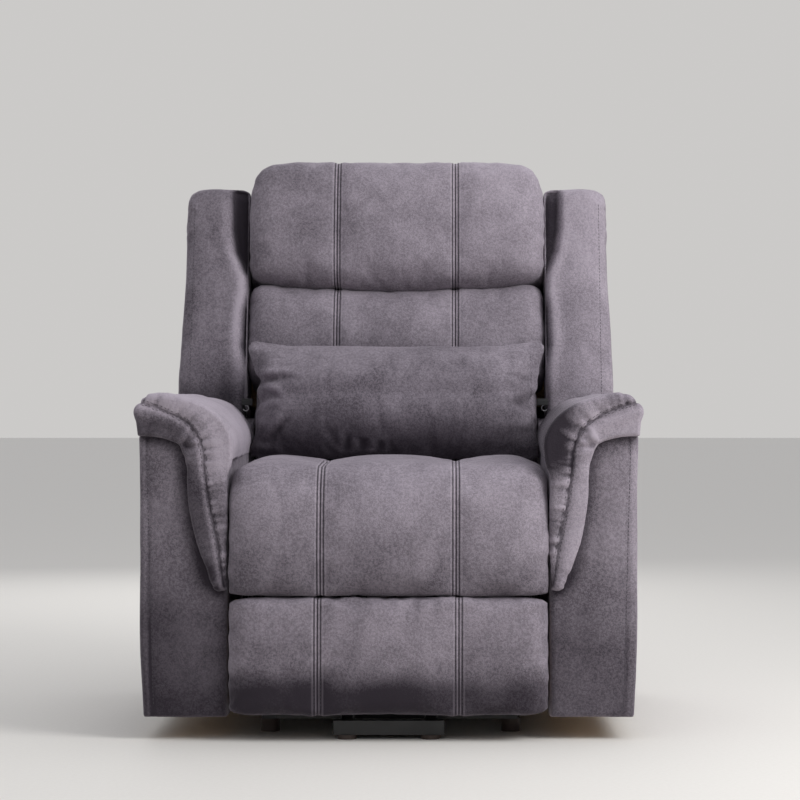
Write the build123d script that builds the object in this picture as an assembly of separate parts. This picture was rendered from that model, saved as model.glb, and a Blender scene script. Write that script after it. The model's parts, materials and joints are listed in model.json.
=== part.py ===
from build123d import *
import math
import os

# Lift recliner chair, in millimetres. +Z is up, the sitter faces -Y, +X is the sitter's left.
# The origin is on the floor under the middle of the chair's overall box.
# (y, z) pairs are points of the side view. Shares are fractions of a size that is named beside them.

os.makedirs("parts", exist_ok=True)

# ---------------------------------------------------------------- seat and chassis
seat_half_width = 285.0        # seat cushion and legrest pad, either side of the middle
seat_front = -465.0            # face of the seat cushion and of the closed legrest
seat_rear = 75.0               # back end of the seat cushion
seat_crown = 497.0             # highest line of the seat cushion
seat_dish = 6.0                # the crown dips by this in the middle
seat_lip_depth = 68.0          # the waterfall front that hangs before the seat frame
seat_lip_bottom = 259.0
# Shares of the lip's depth behind the front, and of the cushion's height above its lowest line.
seat_toe = ((0.206, 0.0), (0.059, 0.021), (0.044, 0.0924))
seat_brow = ((0.0, 0.433), (0.176, 0.7815), (0.515, 0.9244), (1.25, 0.979))
# Shares of the cushion's depth before its rear, and of the height again.
seat_tail = ((0.472, 1.0), (0.0278, 0.9286), (0.0074, 0.9076), (0.0, 0.853))
seam_x = 120.0                 # sewn seams that divide seat and back
legrest_seam_x = 125.0
seam_sink = 5.0                # how deep a seam draws the face in
seam_reach = 36.0              # and how far to either side
end_sink = 26.0                # how far a cushion's ends are drawn in
end_reach = 45.0
soft_gap = 0.3                 # least gap from a soft piece to its neighbour
seat_board_height = 34.0       # wooden seat frame
seat_board_width = 40.0
webbing_thickness = 2.0
webbing_width = 50.0
webbing_pitch = 92.0
webbing_margin = 5.0

plate_inset = 23.0             # from the seat cushion's side
plate_inside = seat_half_width - plate_inset
plate_thickness = 4.0
plate_top = 296.0
plate_eye = 20.0               # radius of the plate's corners
plate_belly = (-141.0, 165.0)  # its lowest corner, between the legrest and the lift links
lug_root_z = 175.0             # root of the lug that carries the front lift link
lug_root_half = 60.0
plate_flange_rear = 140.0
flange_width = 22.0
flange_thickness = 3.0
plate_holes = [
    ((-250.0, 215.0), 20.0),
    ((-150.0, 215.0), 24.0),
    ((-30.0, 170.0), 24.0),
    ((70.0, 240.0), 26.0),
    ((150.0, 245.0), 18.0),
]
tube_radius = 12.5             # chassis cross tubes
lift_tube = (-165.0, 281.0)
lift_tube_radius = 9.0
middle_tube = (-85.0, 262.0)
rear_tube = (150.0, 190.0)
mount_width = 40.0             # brackets that carry the arms
front_bracket_y = -230.0
rear_bracket_y = 60.0
bracket_z = 205.0
bracket_height = 36.0
apron_thickness = 15.0
apron_bottom = 60.0
apron_top = 268.0
apron_corner = 4.0
box_inset = 72.0               # of the power box, from the chassis plate
box_width = 80.0
box_x = (box_inset - plate_inside, box_inset + box_width - plate_inside)
box_y = (100.0, 178.0)
box_height = 34.0
box_corner = 6.0
inlet_width = 24.0
inlet_height = 14.0
inlet_depth = 16.0

# ---------------------------------------------------------------- arms
arm_gap = 2.0                  # between seat cushion and arm
arm_inner = seat_half_width + arm_gap
arm_front = -430.0
arm_rear = 300.0
arm_bottom = 41.0
arm_top = 541.0                # top of the arm body, under its pad
arm_width = 158.0
arm_outer_top = arm_inner + arm_width
arm_taper = 11.0
arm_outer_bottom = arm_outer_top - arm_taper
arm_cover_wall = 10.0
arm_board = 15.0
arm_corner = 22.0
arm_hem = 12.0                 # the frame stops this far above the cover's lower edge
frame_windows = (((-345.0, 5.0), (120.0, 485.0)), ((50.0, 250.0), (120.0, 470.0)))
pad_overhang = 3.0
pad_outer = arm_outer_top + pad_overhang
pad_crown = 612.0
pad_front_depth = 14.0         # how far the padded band stands before the arm
pad_rear = 76.0
pad_swell = 10.0               # of the pad over the edge of the seat
pad_roll = 12.0                # radius of that swell
roll_rise = 2.84               # its widest line lies this far above the arm's top
pad_skirt = 41.0               # how far the pad hangs inside the arm's top
pad_taper = (-250.0, -70.0)    # where the swell dies out towards the rear
band_bottom = 268.0
band_round = 6.0
band_taper = 35.0
# Shares of the pad's width from the seat outwards, and of its height over the arm.
pad_shape = ((1.0, 0.394), (0.95, 0.817), (0.789, 1.014), (0.528, 0.958), (0.217, 0.732))
band_crown = ((0.217, 0.732), (0.528, 0.958), (0.671, 1.0), (0.789, 1.0), (0.963, 0.859), (1.0, 0.394))
# The same across, and shares of the height from the band's foot to the arm's top.
band_outer = ((0.764, 0.9927), (0.528, 0.945), (0.46, 0.85), (0.435, 0.703), (0.317, 0.282), (0.106, 0.0))
band_inner = ((0.0124, 0.0), (0.0124, 0.74), (-0.0435, 0.813))
band_swell = 0.894             # share of its height where the band reaches the swell

# ---------------------------------------------------------------- back
pivot_y = 190.0                # recline axis
pivot_z = 300.0
recline_travel = 36.0
recline_pin = 7.0
lean = 15.0                    # of the back at rest, in degrees
back_step = 10.0               # from the recline axis to the foot of the back frame's face
back_board = 25.0
back_depth = 66.0              # from the face of the back frame to the rear face
cover_wall = 6.0
cover_corner = 10.0
cover_low = 10.0
back_overhang = 15.0           # of the cushions over the arms
back_half_width = arm_inner + back_overhang
back_clearance = 6.0
lower_half_width = seat_half_width - back_clearance  # where the back goes down between the arms
head_top_height = 769.0        # heights are measured up the leaning back from the pivot's level
head_height = 515.0
middle_height = 322.0
lower_height = 116.0
head_depth = 192.0
head_sag = 16.0                # the head cushion's lower edge rises by this at its ends
shoulder_width = 96.0          # the head cushion's rounded top corners
shoulder_drop = 44.0
middle_depth = 160.0
lower_depth = 158.0
cushion_round = 42.0
cushion_crown = 9.0
round_share = 0.3              # of a rounding, where its curve passes
height_share = 0.4             # of an inset, taken off the height as well
shoulder_end = 0.98            # how nearly the shoulder's curve ends upright
back_end_share = 1.4           # the back's ends are drawn in more than the seat's
wing_gap = 1.0
wing_width = 127.0
wing_inside = back_half_width + wing_gap
wing_outside = wing_inside + wing_width
wing_depth = 167.0
wing_height = 728.0
cover_rise = 50.0              # of the back cover between the wings over their tops
cover_high = wing_height + cover_rise
cover_round = 40.0             # its top corners
wing_round = 34.0
# Shares of the wing's width from inside, with how far its front and its top are drawn in there.
wing_stations = ((0.0, 12.0, 4.0), (0.09, 4.0, 1.0), (0.45, 0.0, 0.0), (0.83, 4.0, 1.0), (0.955, 12.0, 7.0),
                 (1.0, 22.0, 15.0))
arc_arm = 266.0                # top of the arm's rear, about the recline axis
arc_gap = 6.0                  # from that arc to the underside of the wings
cross_rails = (70.0, 300.0, 640.0)
cross_rail_height = 55.0
wing_rail_from = 200.0         # rails above this height reach into the wings
rail_width_back = 25.0
rail_low = 52.0
rail_high = 765.0
back_strap_heights = (145.0, 215.0, 380.0, 450.0, 520.0, 590.0)
back_strap_width = 40.0
back_strap_depth = 3.0         # behind the frame's face

pillow_overhang = 2.0
pillow_half_width = lower_half_width + pillow_overhang
pillow_thickness = 118.0
pillow_low = 130.0
pillow_high = 368.0
pillow_gap = 3.5
pillow_swell = 0.42            # share of the thickness, between its middle and its edges
pillow_third = 0.16            # share of the height where that swell lies
# Shares of the pillow's half width, with its thickness there as a share and its trim in height.
pillow_stations = ((0.0, 1.0, 2.0), (0.5, 0.97, 1.0), (0.82, 0.72, 0.0), (0.96, 0.32, 1.0), (1.0, 0.12, 6.0))
strap_width = 14.0
strap_thickness = 1.6

# ---------------------------------------------------------------- lift linkage
lift_travel = 50.0
front_base_pivot = (-312.0, 56.0)
front_seat_pivot = (-51.0, 79.0)
rear_base_pivot = (-278.0, 66.0)
rear_seat_pivot = (215.0, 127.0)
link_thickness = 6.0
link_inset = 26.0              # from the chassis plate
link_step = 10.0
front_link_inside = plate_inside - link_inset
rear_link_inside = front_link_inside - link_step
link_ear_inside = rear_link_inside - link_step
link_ear_thickness = 6.0
lift_eye = 14.0
lift_pin = 6.0
running_gap = 0.05             # radial clearance of a pin in its own hole
open_gap = 0.8                 # radial clearance of the pivots that close a linkage
head_thickness = 2.5
head_margin = 3.0              # a pin head's radius beyond the pin's
side_gap = 0.3                 # washers' room between a link and its neighbour
cross_tube_share = 0.78        # how far along the rear links their cross tube sits

# ---------------------------------------------------------------- lift base
rail_inset = 6.0
rail_middle = rear_link_inside - rail_inset
rail_width = 24.0
rail_height = 25.0
rail_bottom = 25.0
rail_wall = 2.0
rail_front = -330.0
rail_rear = 300.0
cross_depth = 34.0
ear_foot = 6.0                 # radius of the link ears' lower corners
foot_bar_half = 100.0
foot_bar_front = -420.0
foot_bar_depth = 25.0
foot_bar_corner = 5.0
foot_height = 8.0
foot_radius = 17.5
foot_x = 75.0
foot_inset = 24.0
cap_thickness = 3.0
cap_plug = 10.0

# ---------------------------------------------------------------- legrest linkage
legrest_travel = 92.0
upper_pivot = (-345.0, 262.0)
upper_pivot_spacing = 60.0     # from the front arm's pivot to the rear arm's
panel_pivot = (-372.0, 200.0)
turning_centre = (-463.0, 383.0)
control_arm = 42.0
control_angle = 113.0
layer_pitch = 5.0
arm_layer = plate_inside - layer_pitch       # inner face of the swinging arms and panel brackets
carrier_layer = arm_layer - layer_pitch      # inner face of the carriers
control_layer = carrier_layer - layer_pitch  # inner face of the control links
layer_thickness = 4.0
legrest_eye = 11.0
carrier_eye = 9.0
control_half_width = 7.0
legrest_pin = 5.0
pin_end = 0.5                  # a pin's end stands this far out of the arm
close_gap = 0.3                # radial clearance where the parallelograms close
torque_tube_radius = 11.0
torque_bearing = 40.0          # how far the torque tube's ends are bored
legrest_bottom = 46.0
legrest_top = 255.0
legrest_edge = 16.0            # rounding of the pad's edges
edge_slope = 0.2               # shares of that rounding, for the points of its curve
edge_middle = (0.3, 0.25)
legrest_inset_share = 0.75     # the legrest's ends are drawn in less than the seat's
legrest_board_rear = -408.0
legrest_board_thickness = 15.0
legrest_board_inset = 6.0
legrest_board_corner = 8.0
bracket_root = 9.0             # radius of the panel bracket's feet
bracket_flange_low = 150.0
bracket_flange_high = 240.0

# ---------------------------------------------------------------- drives
actuator_tube = 17.0
actuator_rod = 9.0
legrest_rod = 7.0
actuator_eye = 12.0
actuator_pin = 5.0
drive_half = 10.0              # half the thickness of an actuator's end
ear_gap = 0.5                  # between that end and the ears beside it
ear_thickness = 5.0
motor_radius = 19.0
gearbox_start = 20.0
gearbox_height = 24.0
rod_gap = 0.1
slot_gap = 0.9                 # radial clearance of the pin in a rod's eye
lift_drive_base = (-318.0, 64.0)
lift_drive_top = (-198.0, 272.0)
lift_tube_end = 150.0
lift_rod_start = 60.0
lift_motor_length = 110.0
lift_motor_gap = 3.0           # between the tube and the motor beside it
lift_slot = 0.2
recline_drive_fixed = (-60.0, 240.0)
recline_drive_moving = (232.0, 240.0)
recline_drive_x = 80.0
recline_tube_end = 115.0
recline_rod_start = 88.0
recline_motor_length = 95.0
recline_slot = 1.6
motor_gap = 1.0
fork_root_margin = 1.0
hinge_inset = 8.0
hinge_inside = plate_inside - hinge_inset
hinge_thickness = 4.0
hinge_eye = 20.0
hinge_tube_eye = 15.0
hinge_strip = 12.0             # half width of the strip screwed to the back frame
hinge_low = 66.0
hinge_high = 172.0
drive_tube = (222.0, 268.0)
legrest_drive_x = -70.0
legrest_crank = 40.0
legrest_motor_length = 105.0
tube_front = -205.0
tube_rear = 15.0
yoke_gap = 1.8
yoke_half = 4.0
yoke_wall = 7.0
yoke_rod_end = -40.0
crank_side = (-16.0, -8.0)     # the crank's faces, from the middle of the drive
saddle_wall = 4.0
saddle_half = 12.0

# ---------------------------------------------------------------- handset
handset_width = 58.0
handset_height = 150.0
handset_thickness = 22.0
handset_inset = 15.0
handset_outer = arm_outer_top - handset_inset
handset_corner = 12.0
handset_edge = 3.0
pouch_front = -150.0
pouch_rear = -30.0
pouch_bottom = 300.0
pouch_lip = 398.0
pouch_top = 470.0
pouch_depth = 42.0
pouch_wall = 3.0
pouch_inset = 0.5              # the pocket lies this far inside the arm's outer face
window_gap = 0.2
rocker_names = ("lift", "back", "legs")
rocker_width = 30.0
rocker_height = 10.0
rocker_depth = 4.0
rocker_gap = 0.8
rocker_pitch = 14.0
rocker_rise = 1.5
rocker_top = 18.0              # from the housing's top to the first rocker's axis
rocker_dish = 14.7             # radius of the hollow in its face
dish_offset = 14.0
dish_margin = 3.0
trunnion = 1.2
trunnion_reach = 1.5
socket_radius = 4.0
socket_depth = 12.0

# ================================================================ shared shapes


def save(name, part):
    """Write one node."""
    export_step(part, os.path.join("parts", name + ".step"))


def save_pair(name, part):
    """Write a piece drawn at +X, the sitter's left, and its mirror image."""
    save(name + "_left", part)
    save(name + "_right", mirror(part, about=Plane.YZ))


def block(x_span, y_span, z_span):
    """A box between two values of each axis."""
    low = [min(span) for span in (x_span, y_span, z_span)]
    high = [max(span) for span in (x_span, y_span, z_span)]
    size = [b - a for a, b in zip(low, high)]
    middle = [(a + b) / 2 for a, b in zip(low, high)]
    return Pos(*middle) * Box(*size)


def disc(centre, radius):
    """A circle about a (y, z) point."""
    return Pos(centre[0], centre[1]) * Circle(radius)


def bar(*eyes):
    """The outline that wraps round discs given as (point, radius)."""
    edges = []
    for centre, radius in eyes:
        edges += disc(centre, radius).edges()
    return make_hull(edges)


def across(sketch, x_from, x_to):
    """Extrude a (y, z) drawing from one x to another."""
    return extrude(Plane.YZ.offset(x_from) * sketch, amount=x_to - x_from)


def shaft(centre, radius, x_from, x_to):
    """A round bar along X."""
    return across(disc(centre, radius), x_from, x_to)


def add(point, step):
    """A (y, z) point moved by a step."""
    return (point[0] + step[0], point[1] + step[1])


def polar(radius, degrees):
    """A (y, z) step of a length in a direction."""
    angle = math.radians(degrees)
    return (radius * math.cos(angle), radius * math.sin(angle))


def between(a, b, share):
    """The point at a share of the way from a to b."""
    return (a[0] + (b[0] - a[0]) * share, a[1] + (b[1] - a[1]) * share)


def outline(start, *moves):
    """A face whose moves are lines, or arcs where a move names a point on the way too."""
    edges = []
    here = start
    for move in moves:
        there = move[-1]
        if len(move) == 1:
            edges.append(Line(here, there))
        else:
            edges.append(ThreePointArc(here, move[0], there))
        here = there
    if math.dist(here, start) > 0.001:
        edges.append(Line(here, start))
    return make_face(edges)


def loft_across(stations):
    """Loft (y, z) faces placed at their x values."""
    faces = []
    for x, face in stations:
        faces.append((Plane.YZ.offset(x) * face).face())
    return loft(faces, ruled=True)


def cushion_stations(half_width, seam, face):
    """Stations of a cushion with a sewn seam on either side of its middle and drawn-in ends.

    The face is a function of the inset there and of x.
    """
    half = [
        (0.0, 0.0),
        (seam - seam_reach, 0.0),
        (seam - seam_reach / 3, seam_sink / 3),
        (seam, seam_sink),
        (seam + seam_reach / 3, seam_sink / 3),
        (seam + seam_reach, 0.0),
        (half_width - end_reach, 0.0),
        (half_width - end_reach * 0.55, end_sink * 0.12),
        (half_width - end_reach * 0.2, end_sink * 0.45),
        (half_width, end_sink),
    ]
    left = [(-x, face(inset, x)) for x, inset in reversed(half) if x > 0]
    return left + [(x, face(inset, x)) for x, inset in half]


# ================================================================ the leaning back's own axes

lean_sin = math.sin(math.radians(lean))
lean_cos = math.cos(math.radians(lean))
back_foot = (pivot_y + back_step, pivot_z)


def on_back(front, height):
    """The (y, z) point that lies before the back frame's face by front, and up it by height."""
    y = back_foot[0] + height * lean_sin - front * lean_cos
    z = back_foot[1] + height * lean_cos + front * lean_sin
    return (y, z)


def to_back(y, z):
    """The (front, height) of a (y, z) point."""
    dy = y - back_foot[0]
    dz = z - back_foot[1]
    return (dz * lean_sin - dy * lean_cos, dy * lean_sin + dz * lean_cos)


back_plane = Plane(
    origin=(0, back_foot[0], back_foot[1]),
    x_dir=(1, 0, 0),
    z_dir=(0, -lean_cos, lean_sin),
)


def behind(sketch, depth_from, depth_to):
    """Extrude a drawing on the back frame's face, backwards."""
    start = back_plane.offset(-depth_from)
    return extrude(start * sketch, amount=-(depth_to - depth_from))


def span(x_from, x_to, low, high):
    """A rectangle on the back frame's face."""
    return Pos((x_from + x_to) / 2, (low + high) / 2) * Rectangle(x_to - x_from, high - low)


pivot_front, pivot_height = to_back(pivot_y, pivot_z)
wing_arc = arc_arm + arc_gap


def arc_height(front, radius):
    """How high a circle about the recline axis is at a distance before the frame's face."""
    return pivot_height + math.sqrt(radius ** 2 - (front - pivot_front) ** 2)


# ================================================================ lift base

base_rail_top = rail_bottom + rail_height
rail_inside = rail_middle - rail_width / 2
rail_outside = rail_middle + rail_width / 2


def square_tube(x_span, y_span, along_x):
    """A hollow member of the base frame."""
    hole_z = (rail_bottom + rail_wall, base_rail_top - rail_wall)
    hole_x = x_span
    hole_y = y_span
    if along_x:
        hole_y = (y_span[0] + rail_wall, y_span[1] - rail_wall)
    else:
        hole_x = (min(x_span) + rail_wall, max(x_span) - rail_wall)
    outside = block(x_span, y_span, (rail_bottom, base_rail_top))
    return outside - block(hole_x, hole_y, hole_z)


def fork(eye, root, eye_radius, root_radius, middle_x):
    """Two ears that hold an actuator's end between them, with the pin through both."""
    shape = bar((eye, eye_radius), (root, root_radius))
    near = drive_half + ear_gap
    far = near + ear_thickness
    ears = across(shape, middle_x - far, middle_x - near)
    ears += across(shape, middle_x + near, middle_x + far)
    pin = shaft(eye, actuator_pin, middle_x - far, middle_x + far)
    return ears + pin


def make_base():
    """Rails, cross members, link ears and the lift drive's fork, welded into one frame."""
    weld_z = base_rail_top - rail_wall
    frame = square_tube((-rail_inside, rail_inside), (rail_front, rail_front + cross_depth), True)
    frame += square_tube((-rail_inside, rail_inside), (rail_rear - cross_depth, rail_rear), True)
    ear = bar(
        (front_base_pivot, lift_eye),
        (rear_base_pivot, lift_eye),
        ((front_base_pivot[0], weld_z), ear_foot),
        ((rear_base_pivot[0], weld_z), ear_foot),
    )
    buried = lift_eye + ear_foot
    reach = 2 * (rear_base_pivot[0] - front_base_pivot[0]) + 4 * buried
    ear -= Pos(front_base_pivot[0], weld_z - buried / 2) * Rectangle(reach, buried)
    for pivot in (front_base_pivot, rear_base_pivot):
        ear -= disc(pivot, lift_pin + running_gap)
    for side in (-1, 1):
        frame += square_tube((side * rail_inside, side * rail_outside), (rail_front, rail_rear), False)
        near = side * link_ear_inside
        far = side * (link_ear_inside + link_ear_thickness)
        frame += across(ear, min(near, far), max(near, far))
        strut = (side * foot_x - rail_width / 2, side * foot_x + rail_width / 2)
        frame += square_tube(strut, (foot_bar_front + foot_bar_depth, rail_front), False)
    root = (lift_drive_base[0], weld_z)
    frame += fork(lift_drive_base, root, actuator_eye, actuator_eye, 0)
    return frame


def make_foot_bar():
    """The short bar under the legrest that carries the two front feet."""
    bar_z = (foot_height, foot_height + foot_bar_depth)
    bar_y = (foot_bar_front, foot_bar_front + foot_bar_depth)
    piece = block((-foot_bar_half, foot_bar_half), bar_y, bar_z)
    return fillet(piece.edges().filter_by(Axis.Z), foot_bar_corner)


def make_feet():
    """Round feet: two short ones in front, four taller ones under the rails."""
    front_y = foot_bar_front + foot_bar_depth / 2
    feet = []
    for side in (-1, 1):
        feet.append(Pos(side * foot_x, front_y, foot_height / 2) * Cylinder(foot_radius, foot_height))
        for y in (rail_front + foot_inset, rail_rear - foot_inset):
            place = Pos(side * rail_middle, y, rail_bottom / 2)
            feet.append(place * Cylinder(foot_radius, rail_bottom))
    return Compound(children=feet)


def make_end_caps():
    """Plugs that close the rails' ends."""
    caps = []
    for side in (-1, 1):
        outer = (side * rail_inside, side * rail_outside)
        inner = (side * (rail_inside + rail_wall), side * (rail_outside - rail_wall))
        inner_z = (rail_bottom + rail_wall, base_rail_top - rail_wall)
        for y, way in ((rail_front, -1), (rail_rear, 1)):
            face = block(outer, (y, y + way * cap_thickness), (rail_bottom, base_rail_top))
            plug = block(inner, (y, y - way * cap_plug), inner_z)
            caps.append(face + plug)
    return Compound(children=caps)


save("base_frame", make_base())
save("front_foot_bar", make_foot_bar())
save("foot_pads", make_feet())
save("rail_end_caps", make_end_caps())

# ================================================================ lift links and their pins

front_link_outside = front_link_inside + link_thickness
rear_link_outside = rear_link_inside + link_thickness
plate_outside = plate_inside + plate_thickness


def headed_pin(centre, radius, x_from, x_to):
    """A pin between two faces, with a head beyond each."""
    pin = shaft(centre, radius, x_from - head_thickness, x_to + head_thickness)
    pin += shaft(centre, radius + head_margin, x_from - head_thickness, x_from)
    return pin + shaft(centre, radius + head_margin, x_to, x_to + head_thickness)


def make_link(start, end, start_gap, end_gap, x_inside):
    """A flat steel link with an eye at each end."""
    shape = bar((start, lift_eye), (end, lift_eye))
    shape -= disc(start, lift_pin + start_gap)
    shape -= disc(end, lift_pin + end_gap)
    return across(shape, x_inside, x_inside + link_thickness)


front_link = make_link(
    front_base_pivot, front_seat_pivot, running_gap, running_gap, front_link_inside
)
rear_link = make_link(rear_base_pivot, rear_seat_pivot, running_gap, open_gap, rear_link_inside)

cross_tube_middle = between(rear_base_pivot, rear_seat_pivot, cross_tube_share)
lift_cross_tube = shaft(cross_tube_middle, torque_tube_radius, -rear_link_inside, rear_link_inside)


def riveted_pin(centre, x_to):
    """A pin flush with the inner face of the base frame's ear, with a head outside its link."""
    pin = shaft(centre, lift_pin, link_ear_inside, x_to + head_thickness)
    return pin + shaft(centre, lift_pin + head_margin, x_to, x_to + head_thickness)


front_base_pin = riveted_pin(front_base_pivot, front_link_outside + side_gap)
rear_base_pin = riveted_pin(rear_base_pivot, rear_link_outside + side_gap)
base_pins = [front_base_pin, rear_base_pin]
base_pins += [mirror(pin, about=Plane.YZ) for pin in base_pins]

save_pair("lift_front_link", front_link)
save_pair("lift_rear_link", rear_link)
save("lift_cross_tube", lift_cross_tube)
save("lift_base_pins", Compound(children=base_pins))

# ================================================================ actuators


def drive_plane(start, end, middle_x):
    """Axes whose Z runs along an actuator from its fixed eye, and X along the chair's X."""
    step = (end[0] - start[0], end[1] - start[1])
    return Plane(origin=(middle_x, start[0], start[1]), x_dir=(1, 0, 0), z_dir=(0, *step))


def tube_on_axis(radius, z_from, z_to):
    """A round bar on an actuator's own axis."""
    return Pos(0, 0, (z_from + z_to) / 2) * Cylinder(radius, z_to - z_from)


def make_drive_body(start, end, middle_x, motor_step, tube_end, motor_length):
    """Eye, gearbox, outer tube and the motor beside it."""
    place = drive_plane(start, end, middle_x)
    across_eye = Rot(0, 90, 0) * Cylinder(actuator_eye, 2 * drive_half)
    neck = gearbox_start + rod_gap
    body = across_eye + Pos(0, 0, neck / 2) * Box(2 * drive_half, 2 * drive_half, neck)
    body += tube_on_axis(actuator_tube, gearbox_start, tube_end)
    motor = Pos(*motor_step) * tube_on_axis(
        motor_radius, gearbox_start, gearbox_start + motor_length
    )
    gearbox = Pos(motor_step[0] / 2, motor_step[1] / 2, gearbox_start + gearbox_height / 2) * Box(
        abs(motor_step[0]) + 2 * actuator_tube,
        abs(motor_step[1]) + 2 * actuator_tube,
        gearbox_height,
    )
    body += motor + gearbox
    body -= Rot(0, 90, 0) * Cylinder(actuator_pin + running_gap, 4 * drive_half)
    body -= tube_on_axis(actuator_rod + rod_gap, gearbox_start + gearbox_height, tube_end + rod_gap)
    return place.location * body


def make_drive_rod(start, end, middle_x, rod_start, slot):
    """The rod with its eye, whose hole is drawn out across the rod by the slot."""
    reach = math.dist(start, end)
    rod = tube_on_axis(actuator_rod, rod_start, reach - actuator_eye / 2)
    eye = Pos(0, 0, reach) * Rot(0, 90, 0) * extrude(
        SlotCenterToCenter(2 * slot, 2 * actuator_eye, rotation=90), amount=drive_half, both=True
    )
    hole = Pos(0, 0, reach) * Rot(0, 90, 0) * extrude(
        SlotCenterToCenter(2 * slot, 2 * (actuator_pin + slot_gap), rotation=90),
        amount=2 * drive_half,
        both=True,
    )
    return drive_plane(start, end, middle_x).location * (rod + eye - hole)


lift_drive_body = make_drive_body(
    lift_drive_base, lift_drive_top, 0, (actuator_tube + motor_radius + lift_motor_gap, 0),
    lift_tube_end, lift_motor_length,
)
lift_drive_rod = make_drive_rod(lift_drive_base, lift_drive_top, 0, lift_rod_start, lift_slot)
save("lift_drive_body", lift_drive_body)
save("lift_drive_rod", lift_drive_rod)

# ================================================================ chassis

seat_board_top = plate_top + seat_board_height
seat_underside = seat_board_top + webbing_thickness + soft_gap
seat_lip_rear = seat_front + seat_lip_depth
rear_arm_pivot = (upper_pivot[0] + upper_pivot_spacing, upper_pivot[1])


def make_chassis_plate():
    """A pressed side plate with its top flange and the two brackets that carry an arm."""
    shape = bar(
        (upper_pivot, plate_eye),
        ((upper_pivot[0], plate_top - plate_eye), plate_eye),
        ((pivot_y, pivot_z), plate_eye * 1.1),
        (rear_seat_pivot, plate_eye * 0.9),
        (plate_belly, plate_eye),
    )
    lug = bar(
        (front_seat_pivot, lift_eye * 1.15),
        ((front_seat_pivot[0] - lug_root_half, lug_root_z), plate_eye),
        ((front_seat_pivot[0] + lug_root_half, lug_root_z), plate_eye),
    )
    shape += lug
    for centre, radius in plate_holes:
        shape -= disc(centre, radius)
    shape -= disc((pivot_y, pivot_z), recline_pin + running_gap)
    for pivot in (upper_pivot, rear_arm_pivot):
        shape -= disc(pivot, legrest_pin + running_gap)
    shape -= disc(front_seat_pivot, lift_pin + running_gap)
    shape -= disc(rear_seat_pivot, lift_pin + running_gap)
    plate = across(shape, plate_inside, plate_outside)
    above = (plate_top, plate_top + 2 * plate_eye)
    plate -= block((plate_inside, plate_outside), (seat_front, plate_flange_rear), above)
    flange_y = (upper_pivot[0] - plate_eye / 2, plate_flange_rear)
    flange_z = (plate_top - flange_thickness, plate_top)
    plate += block((plate_inside - flange_width, plate_outside), flange_y, flange_z)
    for y in (front_bracket_y, rear_bracket_y):
        y_span = (y - mount_width / 2, y + mount_width / 2)
        z_span = (bracket_z - bracket_height / 2, bracket_z + bracket_height / 2)
        wall = flange_thickness
        hole_y = (y_span[0] + wall, y_span[1] - wall)
        hole_z = (z_span[0] + wall, z_span[1] - wall)
        bracket = block((plate_outside, arm_inner), y_span, z_span)
        plate += bracket - block((plate_outside, arm_inner - wall), hole_y, hole_z)
    return plate


def make_chassis_tubes():
    """Three cross tubes with the upper fork of the lift drive and the recline drive's fork."""
    tubes = []
    sizes = (lift_tube_radius, tube_radius, tube_radius)
    for centre, radius in zip((lift_tube, middle_tube, rear_tube), sizes):
        tubes.append(shaft(centre, radius, -plate_inside, plate_inside))
    tubes[0] += fork(lift_drive_top, lift_tube, actuator_eye, actuator_eye, 0)
    root_radius = actuator_eye + fork_root_margin
    tubes[1] += fork(recline_drive_fixed, middle_tube, actuator_eye, root_radius, recline_drive_x)
    return Compound(children=tubes)


def make_chassis_pins():
    """Pins of the lift links and legrest arms on the side plates."""
    sleeve = lift_pin + head_margin
    front = headed_pin(front_seat_pivot, lift_pin, front_link_inside - side_gap, plate_outside + side_gap)
    front += shaft(front_seat_pivot, sleeve, front_link_outside + side_gap, plate_inside - side_gap)
    rear = headed_pin(rear_seat_pivot, lift_pin, rear_link_inside - side_gap, plate_outside + side_gap)
    rear += shaft(rear_seat_pivot, sleeve, rear_link_outside + side_gap, plate_inside - side_gap)
    pins = [front, rear]
    for pivot in (upper_pivot, rear_arm_pivot):
        pins.append(headed_pin(pivot, legrest_pin, arm_layer - side_gap, plate_outside + side_gap))
    return Compound(children=pins + [mirror(pin, about=Plane.YZ) for pin in pins])


def make_seat_boards():
    """The wooden ring that the seat's webbing is stretched over."""
    y_span = (seat_lip_rear + soft_gap, seat_rear)
    z_span = (plate_top, seat_board_top)
    ring = block((-plate_inside, plate_inside), y_span, z_span)
    inner_y = (y_span[0] + seat_board_width, y_span[1] - seat_board_width)
    inner_x = plate_inside - seat_board_width
    return ring - block((-inner_x, inner_x), inner_y, z_span)


def make_webbing():
    """Elastic straps stapled across the seat boards, and a second set laid over them."""
    y_span = (seat_lip_rear + soft_gap + webbing_margin, seat_rear - webbing_margin)
    straps = None
    for step in range(-2, 3):
        x = step * webbing_pitch
        z_span = (seat_board_top, seat_board_top + webbing_thickness / 2)
        strap = block((x - webbing_width / 2, x + webbing_width / 2), y_span, z_span)
        straps = strap if straps is None else straps + strap
    for step in range(4):
        y = y_span[0] + webbing_pitch * (step + 0.7)
        z_span = (seat_board_top + webbing_thickness / 2, seat_board_top + webbing_thickness)
        reach = plate_inside - webbing_margin
        straps += block((-reach, reach), (y - webbing_width / 2, y + webbing_width / 2), z_span)
    return straps


def make_apron():
    """The upholstered board that closes the chair's back below the recline axis."""
    half = arm_inner - soft_gap
    board = block((-half, half), (arm_rear - apron_thickness, arm_rear), (apron_bottom, apron_top))
    return fillet(board.edges().filter_by(Axis.X), apron_corner)


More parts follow.
